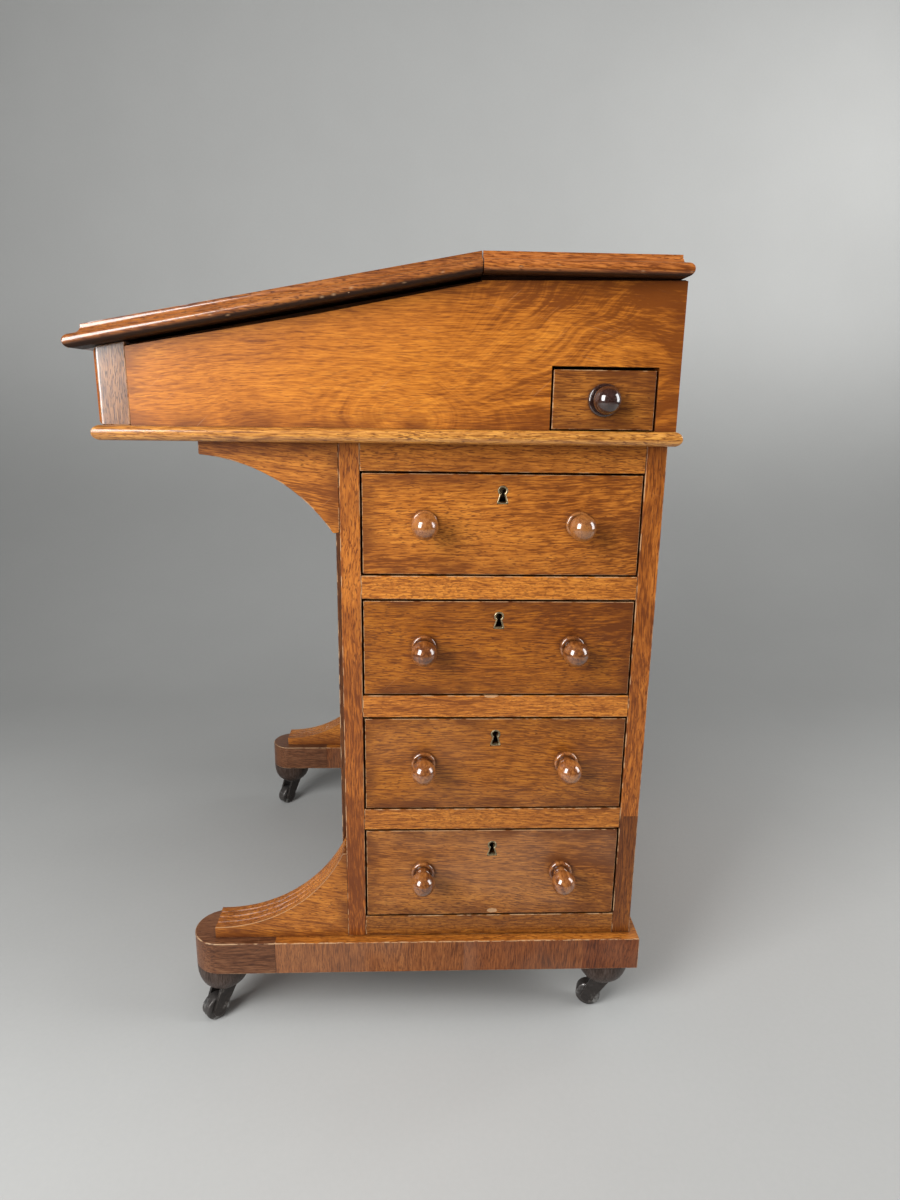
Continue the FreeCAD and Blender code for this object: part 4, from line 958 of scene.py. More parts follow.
def arc(
    centre: tuple[float, float], radius: float, start: float, end: float, steps: int
) -> Outline:
    """Return points along an arc of an outline, angles in degrees from the first axis."""
    turns = [math.radians(start + (end - start) * i / steps) for i in range(steps + 1)]
    return [(centre[0] + radius * math.cos(t), centre[1] + radius * math.sin(t)) for t in turns]


def settle(
    name: str, work: Mesh, finishes: list[Finish], node: str, smooth: float = 50.0
) -> None:
    """Turn a working mesh into a piece that stands for a solid of the frame.

    Args:
        name: the piece's name.
        work: the mesh, which is used up.
        finishes: its finishes, in the order of its faces' numbers.
        node: the frame node that it rides with, and stands for.
        smooth: the largest angle in degrees that is shaded smooth.
    """
    mesh = bpy.data.meshes.new(name)
    work.to_mesh(mesh)
    work.free()
    for finish in finishes:
        mesh.materials.append(finish.make())
    mesh.shade_smooth()
    mesh.set_sharp_from_angle(angle=math.radians(smooth))
    piece = bpy.data.objects.new(name, mesh)
    bpy.context.scene.collection.objects.link(piece)
    even = piece.modifiers.new("even_shading", "WEIGHTED_NORMAL")
    even.keep_sharp = True
    even.weight = 60
    solid = frame["nodes"][node]
    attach(piece, solid["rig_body"])
    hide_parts(node)
    LOG.info("%s: %d faces", name, len(mesh.polygons))


def by_facing(work: Mesh, choose: Callable[[Vector, Vector], int]) -> None:
    """Give each face the finish whose number is chosen by its direction and middle.

    Args:
        work: the mesh.
        choose: returns the number for a direction and a middle.
    """
    work.normal_update()
    for face in work.faces:
        face.material_index = choose(face.normal, face.calc_center_median())


def board(
    node: str, finish: Finish, seed: int, arris: float = 0.9 * MM, knocks: float = 12.0,
    suffix: str = "polished",
) -> None:
    """Finish one plain board of the frame.

    Args:
        node: the frame node.
        finish: its finish.
        seed: fixes its knocks.
        arris: the width of its eased arrises.
        knocks: knocks to each metre of arris.
        suffix: the word that ends the piece's name.
    """
    work = lifted(node)
    soften(work, arris, seed, knocks=knocks)
    settle(f"{node}_{suffix}", work, [finish], node)


def solids(work: Mesh) -> list[Mesh]:
    """Part a mesh into its separate solids, in order of their middles from the floor up.

    Args:
        work: the mesh, which is used up.

    Returns:
        A mesh for each solid.
    """
    left = set(work.verts)
    parts = []
    work.verts.index_update()
    while left:
        reach = [left.pop()]
        keep = {reach[0].index}
        while reach:
            for edge in reach.pop().link_edges:
                for vert in left.intersection(edge.verts):
                    left.discard(vert)
                    keep.add(vert.index)
                    reach.append(vert)
        part = work.copy()
        rest = [vert for vert in part.verts if vert.index not in keep]
        bmesh.ops.delete(part, geom=rest, context="VERTS")
        parts.append(part)
    work.free()

    def middle(part: Mesh) -> tuple[float, ...]:
        """Return a solid's middle, height first."""
        x, y, z = sum((v.co for v in part.verts), Vector()) / len(part.verts)
        return (round(z, 4), round(x, 4), round(y, 4))

    return sorted(parts, key=middle)


# ---- The desk ----


@dataclass
class Casters:
    """Four turned buns with swivelling iron casters under them.

    Attributes:
        half_x: how far to each side they stand.
        ends: the Y of the front and the back pair.
        bun_top: the bun's height where it meets the foot.
        bun_height: the bun's own height.
        bun_radius: its radius at the top.
        waist_radius: its radius at the bottom.
        rim: the height of the straight rim at its top.
        lip: the height of the thin edge at its bottom.
    """

    half_x: float = 0.2575
    ends: tuple[float, float] = (-0.1955, 0.2525)
    bun_top: float = 0.075
    bun_height: float = 0.0305
    bun_radius: float = 0.030
    waist_radius: float = 0.016
    rim: float = 0.005
    lip: float = 0.6 * MM

    def bun(self, name: str, x: float, y: float, number: int) -> None:
        """Turn one bun and set it in its place.

        Args:
            name: the corner of the desk.
            x: its middle across the desk.
            y: its middle along the desk.
            number: fixes its unevenness and its wood.
        """
        outline = [(0.0, 0.0), (0.9 * self.waist_radius, 0.0)]
        widen, rise = self.bun_radius - self.waist_radius, self.bun_height - self.rim - self.lip
        for i in range(17):
            part = math.pi / 2 * i / 16
            outline.append((self.waist_radius + widen * math.sin(part),
                            self.lip + rise * (1 - math.cos(part))))
        outline += [
            (self.bun_radius, self.bun_height - 0.8 * MM),
            (self.bun_radius - 0.6 * MM, self.bun_height), (0.0, self.bun_height),
        ]
        work = turned(outline, number)
        bmesh.ops.translate(work, verts=work.verts, vec=(x, y, self.bun_top - self.bun_height))
        wood = Timber(
            f"bun_wood_{name}", BUN_WOOD, Grain.UPRIGHT, number, pores=0.5, wear=0.3,
            clouds=1.6, polish=0.25, gloss=0.35,
        )
        settle(f"bun_{name}", work, [wood], "caster_buns")

    def build(self) -> None:
        """Make the buns and dress the forks and wheels."""
        number = 0
        for end, y in zip(("front", "back"), self.ends):
            for side, x in (("right", self.half_x), ("left", -self.half_x)):
                number += 1
                self.bun(f"{end}_{side}", x, y, number)
                for part, metal in (("fork", OLD_IRON), ("wheel", TREAD_IRON)):
                    node = f"caster_{part}_{end}_{side}"
                    frame["nodes"][node].data.materials[0] = metal.make()
                    LOG.info("%s: dressed", node)


@dataclass
class Base:
    """Two feet veneered on their sides, and the rails and board between them.

    Attributes:
        joint_y: where the nose block meets the veneer.
        patches: where the veneer's pieces meet each other.
        veneers: the tint of each piece.
        groove: the depth of the worn joint.
        groove_half: half its width.
    """

    joint_y: float = -0.1295
    patches: tuple[float, ...] = (0.084, 0.221)
    veneers: tuple[Colour, ...] = ((1.0, 1.06, 1.08), (0.88, 0.84, 0.80), (0.72, 0.62, 0.62))
    groove: float = 0.9 * MM
    groove_half: float = 0.6 * MM

    def foot(self, side: str, tree: float, seed: int) -> None:
        """Finish one foot: crossbanded sides, a darker nose and a plain top.

        Args:
            side: right or left.
            tree: which part of the tree its wood was cut from.
            seed: fixes its knocks.
        """
        node = f"foot_{side}"
        work = lifted(node)
        for offset in (-self.groove_half, 0.0, self.groove_half):
            cut(work, 1, self.joint_y + offset)
        for spot in self.patches:
            cut(work, 1, spot)
        low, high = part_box(node)
        for vert in work.verts:
            if abs(vert.co.y - self.joint_y) < 1e-6:
                vert.co.x -= math.copysign(self.groove, vert.co.x - (low.x + high.x) / 2)
        soften(work, 1.0 * MM, seed, knocks=30.0)

        def choose(facing: Vector, spot: Vector) -> int:
            """Return the top, the nose or one piece of the veneer.

            Args:
                facing: the face's direction.
                spot: its middle.

            Returns:
                The finish's number.
            """
            if spot.y < self.joint_y:
                return 1
            return 0 if facing.z > 0.8 else 2 + sum(spot.y > patch for patch in self.patches)

        by_facing(work, choose)
        woods = [
            Timber(f"foot_top_{side}", tinted(RAIL_WOOD, 0.85), Grain.DEEP, tree, wear=0.5,
                   rim_of=node, edge_grime_and_shade=0.3),
            Timber(f"foot_nose_{side}", NOSE_WOOD, Grain.DEEP, tree + 1, wear=0.8, clouds=1.3,
                   pores=0.5, polish=0.35, scratches=0.2),
        ]
        for number, tint in enumerate(self.veneers):
            woods.append(Timber(
                f"foot_veneer_{number + 1}_{side}", tinted(BASE_WOOD, tint), Grain.UPRIGHT,
                tree + 2.0 + number, wear=0.75, clouds=1.5, ribbons=0.5, polish=0.3, pores=0.6,
                bloom_and_sheen=0.1, scratches=0.2,
            ))
        settle(f"{node}_veneered", work, woods, node)

    def build(self) -> None:
        """Finish the feet and the hidden boards between them."""
        self.foot("right", 0.3, 11)
        self.foot("left", 1.7, 12)
        for node, name, share, tree, seed in (
            ("plinth_rails", "bare_rail", 0.55, 2.2, 13),
            ("dust_board", "bare_dust_board", 0.6, 3.1, 14),
        ):
            wood = Timber(name, tinted(BARE_WOOD, share), Grain.ACROSS, tree, polish=0.0,
                          satin=0.75, pores=0.4, wear=0.3)
            board(node, wood, seed, suffix="planed")


@dataclass
class Pedestal:
    """The case of drawers: stiles, rails, panels and runners.

    Attributes:
        rail_tones: how bright each rail of a side is, from the bottom up.
        scar: the chip out of the rail under the second drawer.
        patch_z: the top of the darker piece let in at the foot of the right back stile.
        patch_tone: how bright that piece is against its stile.
    """

    rail_tones: tuple[float, ...] = (0.56, 0.92, 1.06, 1.05)
    scar: tuple[float, float, float, float] = (0.108, 0.4068, 0.008, 0.0022)
    patch_z: float = 0.264
    patch_tone: float = 0.58

    def stile(
        self, node: str, tree: float, seed: int, tone: float = 1.0, patch_z: float = 0.0
    ) -> None:
        """Finish one stile.

        Args:
            node: its frame node.
            tree: which part of the tree it was cut from.
            seed: fixes its knocks.
            tone: how bright it is.
            patch_z: the top of the darker piece let in at its foot, or 0 for none.
        """
        work = lifted(node)
        if patch_z:
            cut(work, 2, patch_z)
        soften(work, 0.9 * MM, seed)
        by_facing(work, lambda facing, spot: int(spot.z < patch_z))
        woods = [
            Timber(
                f"{node}_{name}", tinted(STILE_WOOD, share), Grain.UPRIGHT, part, wear=0.6,
                clouds=1.6, rim_of="" if "left" in node else node, edge_grime_and_shade=0.4, painted_flank_shade=0.75,
                painted_falloff=(2, 0.62, 0.35, -0.1, 0.1),
            )
            for name, share, part in (
                ("wood", tone, tree), ("patch", tone * self.patch_tone, tree + 1.0)
            )
        ]
        settle(f"{node}_polished", work, woods, node)

    def rails(self, node: str, seed: int) -> None:
        """Finish a set of rails, each in its own wood.

        Args:
            node: their frame node.
            seed: fixes their knocks and their wood.
        """
        for number, work in enumerate(solids(lifted(node))):
            soften(work, 0.8 * MM, seed + number, knocks=14.0)
            tone = self.rail_tones[min(number, len(self.rail_tones) - 1)]
            wood = Timber(
                f"{node}_wood_{number + 1}", tinted(RAIL_WOOD, tone), Grain.DEEP,
                seed + 1.3 * number, pores=0.6, pore_length=2.6 * MM, pore_width=0.9 * MM,
                pore_share=0.5, wear=0.6, clouds=1.6, bands=0.5, painted_flank_shade=0.7,
                scar=self.scar if number == 2 else None,
            )
            settle(f"{node}_{number + 1}_polished", work, [wood], node)

    def build(self) -> None:
        """Finish every board of the case."""
        self.stile("stile_front_right", 4.4, 21, 1.12)
        self.stile("stile_back_right", 5.2, 22, 1.12, self.patch_z)
        self.stile("stiles_left", 6.1, 23)
        self.rails("drawer_rails_right", 30)
        self.rails("rails_left", 40)
        board("top_rail_right", Timber("top_rail_wood", RAIL_WOOD, Grain.DEEP, 7.3,
                                       pore_share=0.4, rim_of="top_rail_right"), 24)
        # Painted shade: the front panel's dark tone is partly the shadow it sits in, partly its
        # own darker wood.
        board("pedestal_front_panel",
              Timber("front_panel_wood", tinted(STILE_WOOD, 0.35), Grain.UPRIGHT, 8.4,
                     clouds=1.3, rim_of="pedestal_front_panel"), 25)
        board("pedestal_back_panel",
              Timber("back_panel_wood", tinted(SIDE_WOOD, 0.62), Grain.UPRIGHT, 9.9,
                     clouds=1.2, polish=0.25), 26)
        board("drawer_runners",
              Timber("runner_wood", tinted(BARE_WOOD, 0.7), Grain.ACROSS, 10.3, polish=0.0,
                     satin=0.7), 27, knocks=0.0, suffix="planed")


@dataclass
class Brackets:
    """Scrolled brackets over the feet and under the box.

    Attributes:
        edge: the width of the pale line along a lower bracket's outer reed.
    """

    edge: float = 1.4 * MM

    def rub(self, work: Mesh) -> None:
        """Mark a bracket's outer reed as worn, for the pale line along it.

        Args:
            work: the bracket, already softened.
        """
        rubbed = work.faces.layers.float["arris"]
        inner = max(abs(vert.co.x) for vert in work.verts) - self.edge
        cut(work, 0, math.copysign(inner, next(iter(work.verts)).co.x))
        for face in work.faces:
            beside = abs(face.calc_center_median().x) > inner
            if beside and abs(face.normal.x) < 0.93 and face.normal.z > 0.05:
                face[rubbed] = 1.0

    def build(self) -> None:
        """Finish the four brackets."""
        for side, offset in (("right", 0.0), ("left", 5.0)):
            for level, tree, seed, tone, wear in (
                ("upper", 11.2, 51, 1.02, 0.5), ("lower", 12.6, 52, 0.9, 1.3)
            ):
                node = f"{level}_bracket_{side}"
                work = lifted(node)
                soften(work, 1.1 * MM, seed, knocks=18.0)
                if level == "lower":
                    self.rub(work)
                wood = Timber(
                    f"{node}_wood", tinted(RAIL_WOOD, tone), Grain.DEEP, tree + offset,
                    clouds=1.6, tilt=0.12, wear=wear, scratches=0.2, rim_of=node, edge_grime_and_shade=0.8,
                )
                settle(f"{node}_polished", work, [wood], node)


@dataclass
class WritingBox:
    """The sloping box: sides, ends, bottom and what is fixed inside it.

    Attributes:
        front_y: the outer face of its front.
        inner_tone: how bright the unpolished inner faces are.
        gap_shade_tone: how bright the painted shade in the shadow gap is.
        face_x: the outer face of its sides.
        rebate: how far in the shadow gap under the lid and top is cut.
        drop: how deep that gap is at the ridge.
        bow: how much deeper it is where the sloping edge is most hollow.
        bow_y: where that is.
        slope: the slope of the side's top edge.
        ridge: where the slope starts, in Y and Z.
        nose: the round on the front's upright corners.
    """

    front_y: float = -0.2675
    inner_tone: float = 0.6
    gap_shade_tone: float = 0.13
    face_x: float = 0.2985
    rebate: float = 6.0 * MM
    drop: float = 4.6 * MM
    bow: float = 4.2 * MM
    bow_y: float = -0.06
    slope: float = math.radians(10.7)
    ridge: tuple[float, float] = (0.0870, 0.8208)
    nose: float = 5.5 * MM

    def ease_down(self, work: Mesh) -> None:
        """Rebate a side's upper outer edge, so that a dark gap shows under the lid and top.

        Args:
            work: the side.
        """
        inner = self.face_x - self.rebate
        cut(work, 1, self.bow_y)
        for spot in (-inner, -(inner + 0.2 * MM), inner, inner + 0.2 * MM):
            cut(work, 0, spot)
        for vert in work.verts:
            below = self.ridge[0] - vert.co.y
            top = self.ridge[1] - max(0.0, below) * math.tan(self.slope)
            if abs(vert.co.x) < inner + 0.1 * MM or vert.co.z < top - 5 * MM:
                continue
            if vert.co.z > top - 1.6 * MM:
                vert.co.z -= self.drop + 0.0165 * below
            else:
                vert.co.z -= self.bow - 0.0135 * abs(vert.co.y - self.bow_y)

    def side(self, side: str, outward: float, seed: int) -> None:
        """Finish one side, figured outside and plain within.

        Args:
            side: right or left.
            outward: 1 for the right, -1 for the left.
            seed: fixes its knocks and its wood.
        """
        node = f"box_side_{side}"
        work = lifted(node)
        self.ease_down(work)
        soften(work, 0.6 * MM, seed, knocks=10.0)

        def choose(facing: Vector, spot: Vector) -> int:
            """Return the outside, the inside or the shadow gap with its painted shade.

            Args:
                facing: the face's direction.
                spot: its middle.

            Returns:
                The finish's number.
            """
            if facing.x * outward < -0.7:
                return 1
            sunk = spot.x * outward < self.face_x - 3 * MM
            rim = spot.x * outward > self.face_x - self.rebate - 1 * MM
            return 2 if rim and ((facing.x * outward > 0.7 and sunk) or facing.z > 0.7) else 0

        by_facing(work, choose)
        outer = Timber(
            f"{node}_figured", SIDE_WOOD, Grain.DEEP, seed, crotch=True, bands=1.2, ribbons=0.7,
            fibre=1.35, pores=0.5, pore_length=6 * MM, polish=0.8, gloss=0.25, satin=0.45,
            wear=0.6, scratches=0.25, edge_grime_and_shade=0.65, rim_of=node, painted_falloff=(1, 0.0, 0.22, 0.0, 0.3),
        )
        inner = Timber(f"{node}_inner", tinted(SIDE_WOOD, self.inner_tone), Grain.DEEP,
                       seed + 1, polish=0.05, satin=0.65)
        # Painted shade: the rebate's faces are near-black wood, standing in for the shadow under
        # the lid.
        gap = Timber(f"{node}_painted_shadow_gap", tinted(SIDE_WOOD, self.gap_shade_tone), Grain.DEEP, seed,
                     polish=0.0, satin=0.8, wear=0.0, scratches=0.0)
        settle(f"{node}_polished", work, [outer, inner, gap], node)

    def front(self) -> None:
        """Finish the front board, its upright corners rounded and its ends milky with a painted
        sheen.
        """
        node = "box_front"
        work = lifted(node)

        def on_corner(spot: Vector) -> bool:
            """Say whether a point lies on an outer upright corner."""
            out = abs(spot.x) > self.face_x - 0.1 * MM
            return out and abs(spot.y - self.front_y) < 0.1 * MM

        corners = [edge for edge in work.edges if all(on_corner(v.co) for v in edge.verts)]
        bmesh.ops.bevel(work, geom=corners, offset=self.nose, segments=6, profile=0.5,
                        affect="EDGES", clamp_overlap=True)
        soften(work, 0.9 * MM, 63, knocks=35.0, least=35.0)
        by_facing(work, lambda facing, spot: int(abs(facing.x) > 0.93))
        wood = Timber(f"{node}_wood", tinted(SIDE_WOOD, (0.85, 0.70, 0.7)), Grain.ACROSS, 13.2,
                      wear=0.8, polish=0.8, gloss=0.18, satin=0.4, chips=0.9, lustre=1.45)
        # Painted sheen: the ends' bluish tone and milky patches stand in for the glossy
        # reflection on them.
        ends = Timber(
            f"{node}_end_wood", tinted(SIDE_WOOD, (0.50, 0.60, 1.7)), Grain.UPRIGHT, 13.9,
            wear=0.9, polish=1.0, gloss=0.24, satin=0.4, clouds=3.4, fibre=3.0, bloom_and_sheen=0.45,
            chips=0.5, lustre=1.9, depth=1.2 * MM, rim_of=node, edge_grime_and_shade=0.6,
        )
        settle(f"{node}_polished", work, [wood, ends], node)

    def build(self) -> None:
        """Finish the box."""
        self.side("right", 1.0, 61)
        self.side("left", -1.0, 62)
        self.front()
        board("box_back", Timber("box_back_wood", tinted(SIDE_WOOD, 0.6), Grain.ACROSS, 14.7,
                                 polish=0.3), 64)
        board("box_bottom",
              Timber("box_bottom_wood", tinted(SIDE_WOOD, (1.0, 1.28, 2.3)), Grain.DEEP, 15.5,
                     clouds=1.3, polish=1.0, gloss=0.16, wear=0.7, lustre=1.6), 65)
        board("pen_drawer_housing",
              Timber("housing_wood", tinted(BARE_WOOD, 0.7), Grain.ACROSS, 16.1, polish=0.0,
                     satin=0.7), 66, arris=0.4 * MM, knocks=0.0, suffix="planed")
        board("lid_lock", OLD_BRASS, 67, arris=0.3 * MM, knocks=0.0, suffix="brass")


@dataclass
class Top:
    """The moulded top board and the sloping lid that hinges on it.

    Attributes:
        slope: the lid's angle.
        half_width: half the width over the mouldings.
        front_y: the lid's nose.
        back_y: the back edge of the top.
        moulding: the width of the moulding.
        step_y: where the back moulding's hollow meets its round.
        step_z: the height of that meeting.
        back_step: how much of the hollow's width is left at the back.
        chips: how many chips each moulding has.
        chip_reach: the least and greatest radius of a chip.
        chip_depth: how deep the deepest goes.
    """

    slope: float = math.radians(10.7)
    half_width: float = 0.3165
    front_y: float = -0.286
    back_y: float = 0.2765
    moulding: float = 16 * MM
    step_y: float = 0.2704
    step_z: float = 0.8335
    back_step: float = 0.15
    chips: int = 14
    chip_reach: tuple[float, float] = (0.9 * MM, 1.8 * MM)
    chip_depth: float = 0.3 * MM

    def nick(self, work: Mesh, end_y: float, seed: int) -> None:
        """Knock small chips out of the outer half of a moulding's round.

        Args:
            work: the board, already softened.
            end_y: the moulded end of the board.
            seed: fixes where they fall.
        """
        chance = random.Random(seed)
        work.normal_update()
        edge = 5 * MM
        targets = [
            vert for vert in work.verts
            if (abs(vert.co.x) > self.half_width - edge and abs(vert.normal.x) > 0.5)
            or (abs(vert.co.y - end_y) < edge and abs(vert.normal.y) > 0.5)
        ]
        for _ in range(self.chips):
            at = chance.choice(targets).co.copy()
            reach = chance.uniform(*self.chip_reach) * chance.uniform(0.5, 1.0)
            deep = self.chip_depth * chance.uniform(0.3, 1.0)
            dint(targets, at, reach, deep, work.verts.layers.float["bruise"], 0.7)

    def moulded(self, node: str, tree: float, seed: int, **finish: float) -> None:
        """Finish one moulded board and chip its moulding.

        Args:
            node: its frame node.
            tree: which part of the tree it was cut from.
            seed: fixes its knocks and chips.
            **finish: what is its own about its wood.
        """
        tone = tinted(TOP_WOOD, finish.pop("share"))
        # Its moulding's faces that look down get painted shade, through under, beyond and turn.
        wood = Timber(
            f"{node}_wood", tone, Grain.DEEP, tree, clouds=1.5, wear=0.6, polish=1.0, gloss=0.11,
            satin=0.4, under=0.95, beyond=0.284, scratches=0.3, chips=0.6, **finish,
        )
        work = lifted(node)
        end_y = self.front_y
        if node == "top_board":
            end_y = self.back_y
            for vert in work.verts:
                short = self.step_y - vert.co.y
                if 0.0 < short < self.moulding and vert.co.z > self.step_z:
                    vert.co.y = self.step_y - short * self.back_step
        rim = self.half_width - self.moulding
        slice_up(work, 1, 2.6 * MM, lambda spot: spot.x > rim)
        slice_up(work, 1, 6.0 * MM, lambda spot: spot.x < -rim)
        slice_up(work, 0, 5.0 * MM, lambda spot: abs(spot.y - end_y) < self.moulding)
        soften(work, 0.6 * MM, seed, step=8 * MM, knocks=16.0, least=30.0)
        self.nick(work, end_y, seed + 5)
        settle(f"{node}_polished", work, [wood], node)

    def build(self) -> None:
        """Finish the top, the lid, its leather and its hinges."""
        self.moulded("top_board", 17.4, 71, share=1.0, turn=-0.3, lustre=1.4)
        self.moulded("writing_slope", 18.8, 72, share=0.70, turn=0.05, lustre=1.65)
        node = "slope_leather"
        cosine, sine = math.cos(self.slope), math.sin(self.slope)
        along = [v.co.y * cosine + v.co.z * sine for v in frame["nodes"][node].data.vertices]
        hide = Hide("green_writing_leather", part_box(node)[1].x, min(along), max(along),
                    self.slope)
        board(node, hide, 73, arris=0.4 * MM, knocks=0.0, suffix="tooled")
        for node in ("hinge_leaves_top", "hinge_leaves_lid"):
            board(node, OLD_BRASS, 74, arris=0.25 * MM, knocks=0.0, suffix="brass")


@dataclass
class Knob:
    """A turned knob.

    Attributes:
        disc: the radius of the disc against the drawer.
        disc_height: the disc's thickness.
        neck: the neck's radius.
        ball: the ball's radius.
        projection: how far it stands out.
        tenon: the tenon's radius.
        tenon_length: the tenon's length.
        bead: the radius of the bead round the neck.
    """

    disc: float = 13.2 * MM
    disc_height: float = 5.0 * MM
    neck: float = 7.5 * MM
    ball: float = 13.2 * MM
    projection: float = 36.5 * MM
    tenon: float = 5.0 * MM
    tenon_length: float = 14.0 * MM
    bead: float = 0.9 * MM

    def outline(self) -> Outline:
        """Draw the knob's outline from its tenon to the top of the ball.

        Returns:
            Its points, out from the axis and up.
        """
        soft = self.disc_height / 2
        centre = self.projection - self.ball
        start = -math.degrees(math.acos(self.neck / self.ball))
        neck_top = centre - math.sqrt(self.ball**2 - self.neck**2)
        shoulder = self.disc_height - 0.3 * MM
        return [
            (0.0, -self.tenon_length), (self.tenon, -self.tenon_length), (self.tenon, 0.0),
            (self.disc, 0.0),
            *arc((self.disc - soft, self.disc_height - soft), soft, 0.0, 80.0, 8),
            (self.neck + 2.2 * self.bead, shoulder),
            (self.neck + self.bead, shoulder - 0.5 * MM),
            *arc((self.neck, (shoulder + neck_top) / 2), self.bead, -70.0, 70.0, 6),
            (self.neck, neck_top - 0.1 * MM),
            *arc((0.0, centre), self.ball, start + 4, 88.0, 26),
            (0.0, self.projection),
        ]

    def set_in(
        self, name: str, place: Place, outward: float, finish: Finish, node: str, seed: int
    ) -> None:
        """Turn one knob and set it in its place.

        Args:
            name: the piece's name.
            place: where its disc sits, at its middle.
            outward: 1 to stand out to the right, -1 to the left.
            finish: its wood.
            node: the frame node that it stands for.
            seed: fixes its small unevenness.
        """
        work = turned(self.outline(), seed)
        turn = Matrix.Rotation(math.radians(90.0 * outward), 4, "Y")
        roll = Matrix.Rotation(seed * 0.9, 4, "Z")
        work.transform(Matrix.Translation(place) @ turn @ roll)
        settle(name, work, [finish], node, smooth=60.0)


@dataclass
class Keyhole:
    """A brass lining let into a drawer front, flush but for its rounded rim.

    Attributes:
        head: the radius of its round head.
        foot: half the width of its foot.
        neck: half the width of its waist.
        drop: how far its foot is below the head's middle.
        rim: the width of the brass.
        depth: how deep it goes.
        raise_by: how far the head's middle is above the drawer's.
    """

    head: float = 5.2 * MM
    foot: float = 5.75 * MM
    neck: float = 3.4 * MM
    drop: float = 13.4 * MM
    rim: float = 2.1 * MM
    depth: float = 2.9 * MM
    raise_by: float = 34.6 * MM

    def outline(self, inset: float) -> Outline:
        """Return the keyhole's outline, drawn in by an inset, anticlockwise from its foot.

        Args:
            inset: how far in it is drawn.

        Returns:
            Its points, across and up.
        """
        head, neck, foot = self.head - inset, self.neck - inset, self.foot - inset
        corner = max(0.3 * MM, 2.0 * MM - inset)
        base = inset - self.drop + corner
        waist = math.degrees(math.asin(neck / head))
        return [
            *arc((corner - foot, base), corner, 180.0, 270.0, 5),
            *arc((foot - corner, base), corner, -90.0, 0.0, 5),
            *arc((0.0, 0.0), head, waist - 90.0, 270.0 - waist, 26),
        ]

    def fit(self, name: str, node: str, x: float, y: float, middle: float) -> None:
        """Shape a lining and set it in a drawer front.

        Args:
            name: the piece's name.
            node: the frame node that it stands for.
            x: the front's face.
            y: the middle of the front's length.
            middle: the middle of the front's height.
        """
        steps = (
            (0.0, -self.depth), (0.0, -0.1 * MM), (0.4 * MM, 0.26 * MM), (0.95 * MM, 0.42 * MM),
            (1.5 * MM, 0.26 * MM), (self.rim, -0.35 * MM), (self.rim, -self.depth),
        )
        z = middle + self.raise_by
        work = bmesh.new()
        rings = [
            [
                work.verts.new((x + math.copysign(1.0, x) * height, y + across, z + up))
                for across, up in self.outline(inset)
            ]
            for inset, height in steps
        ]
        for low, high in zip(rings, [*rings[1:], rings[0]]):
            for i, start in enumerate(low):
                j = (i + 1) % len(low)
                work.faces.new((start, low[j], high[j], high[i]))
        bmesh.ops.recalc_face_normals(work, faces=work.faces)
        settle(name, work, [OLD_BRASS], node)


def carcase(node: str, seed: int) -> None:
    """Finish a drawer's thin sides, back and bottom.

    Args:
        node: their frame node.
        seed: fixes their knocks and their wood.
    """
    work = lifted(node)
    soften(work, 0.4 * MM, seed, knocks=4.0)
    by_facing(work, lambda facing, spot: int(abs(facing.x) > 0.7))
    looks = {"polish": 0.0, "satin": 0.68, "pores": 0.35, "wear": 0.3}
    sides = Timber(f"{node}_sides", BARE_WOOD, Grain.ACROSS, seed * 1.1, clouds=1.3, **looks)
    ends = Timber(f"{node}_ends", tinted(BARE_WOOD, 0.92), Grain.DEEP, seed * 1.3, **looks)
    settle(f"{node}_planed", work, [sides, ends], node)


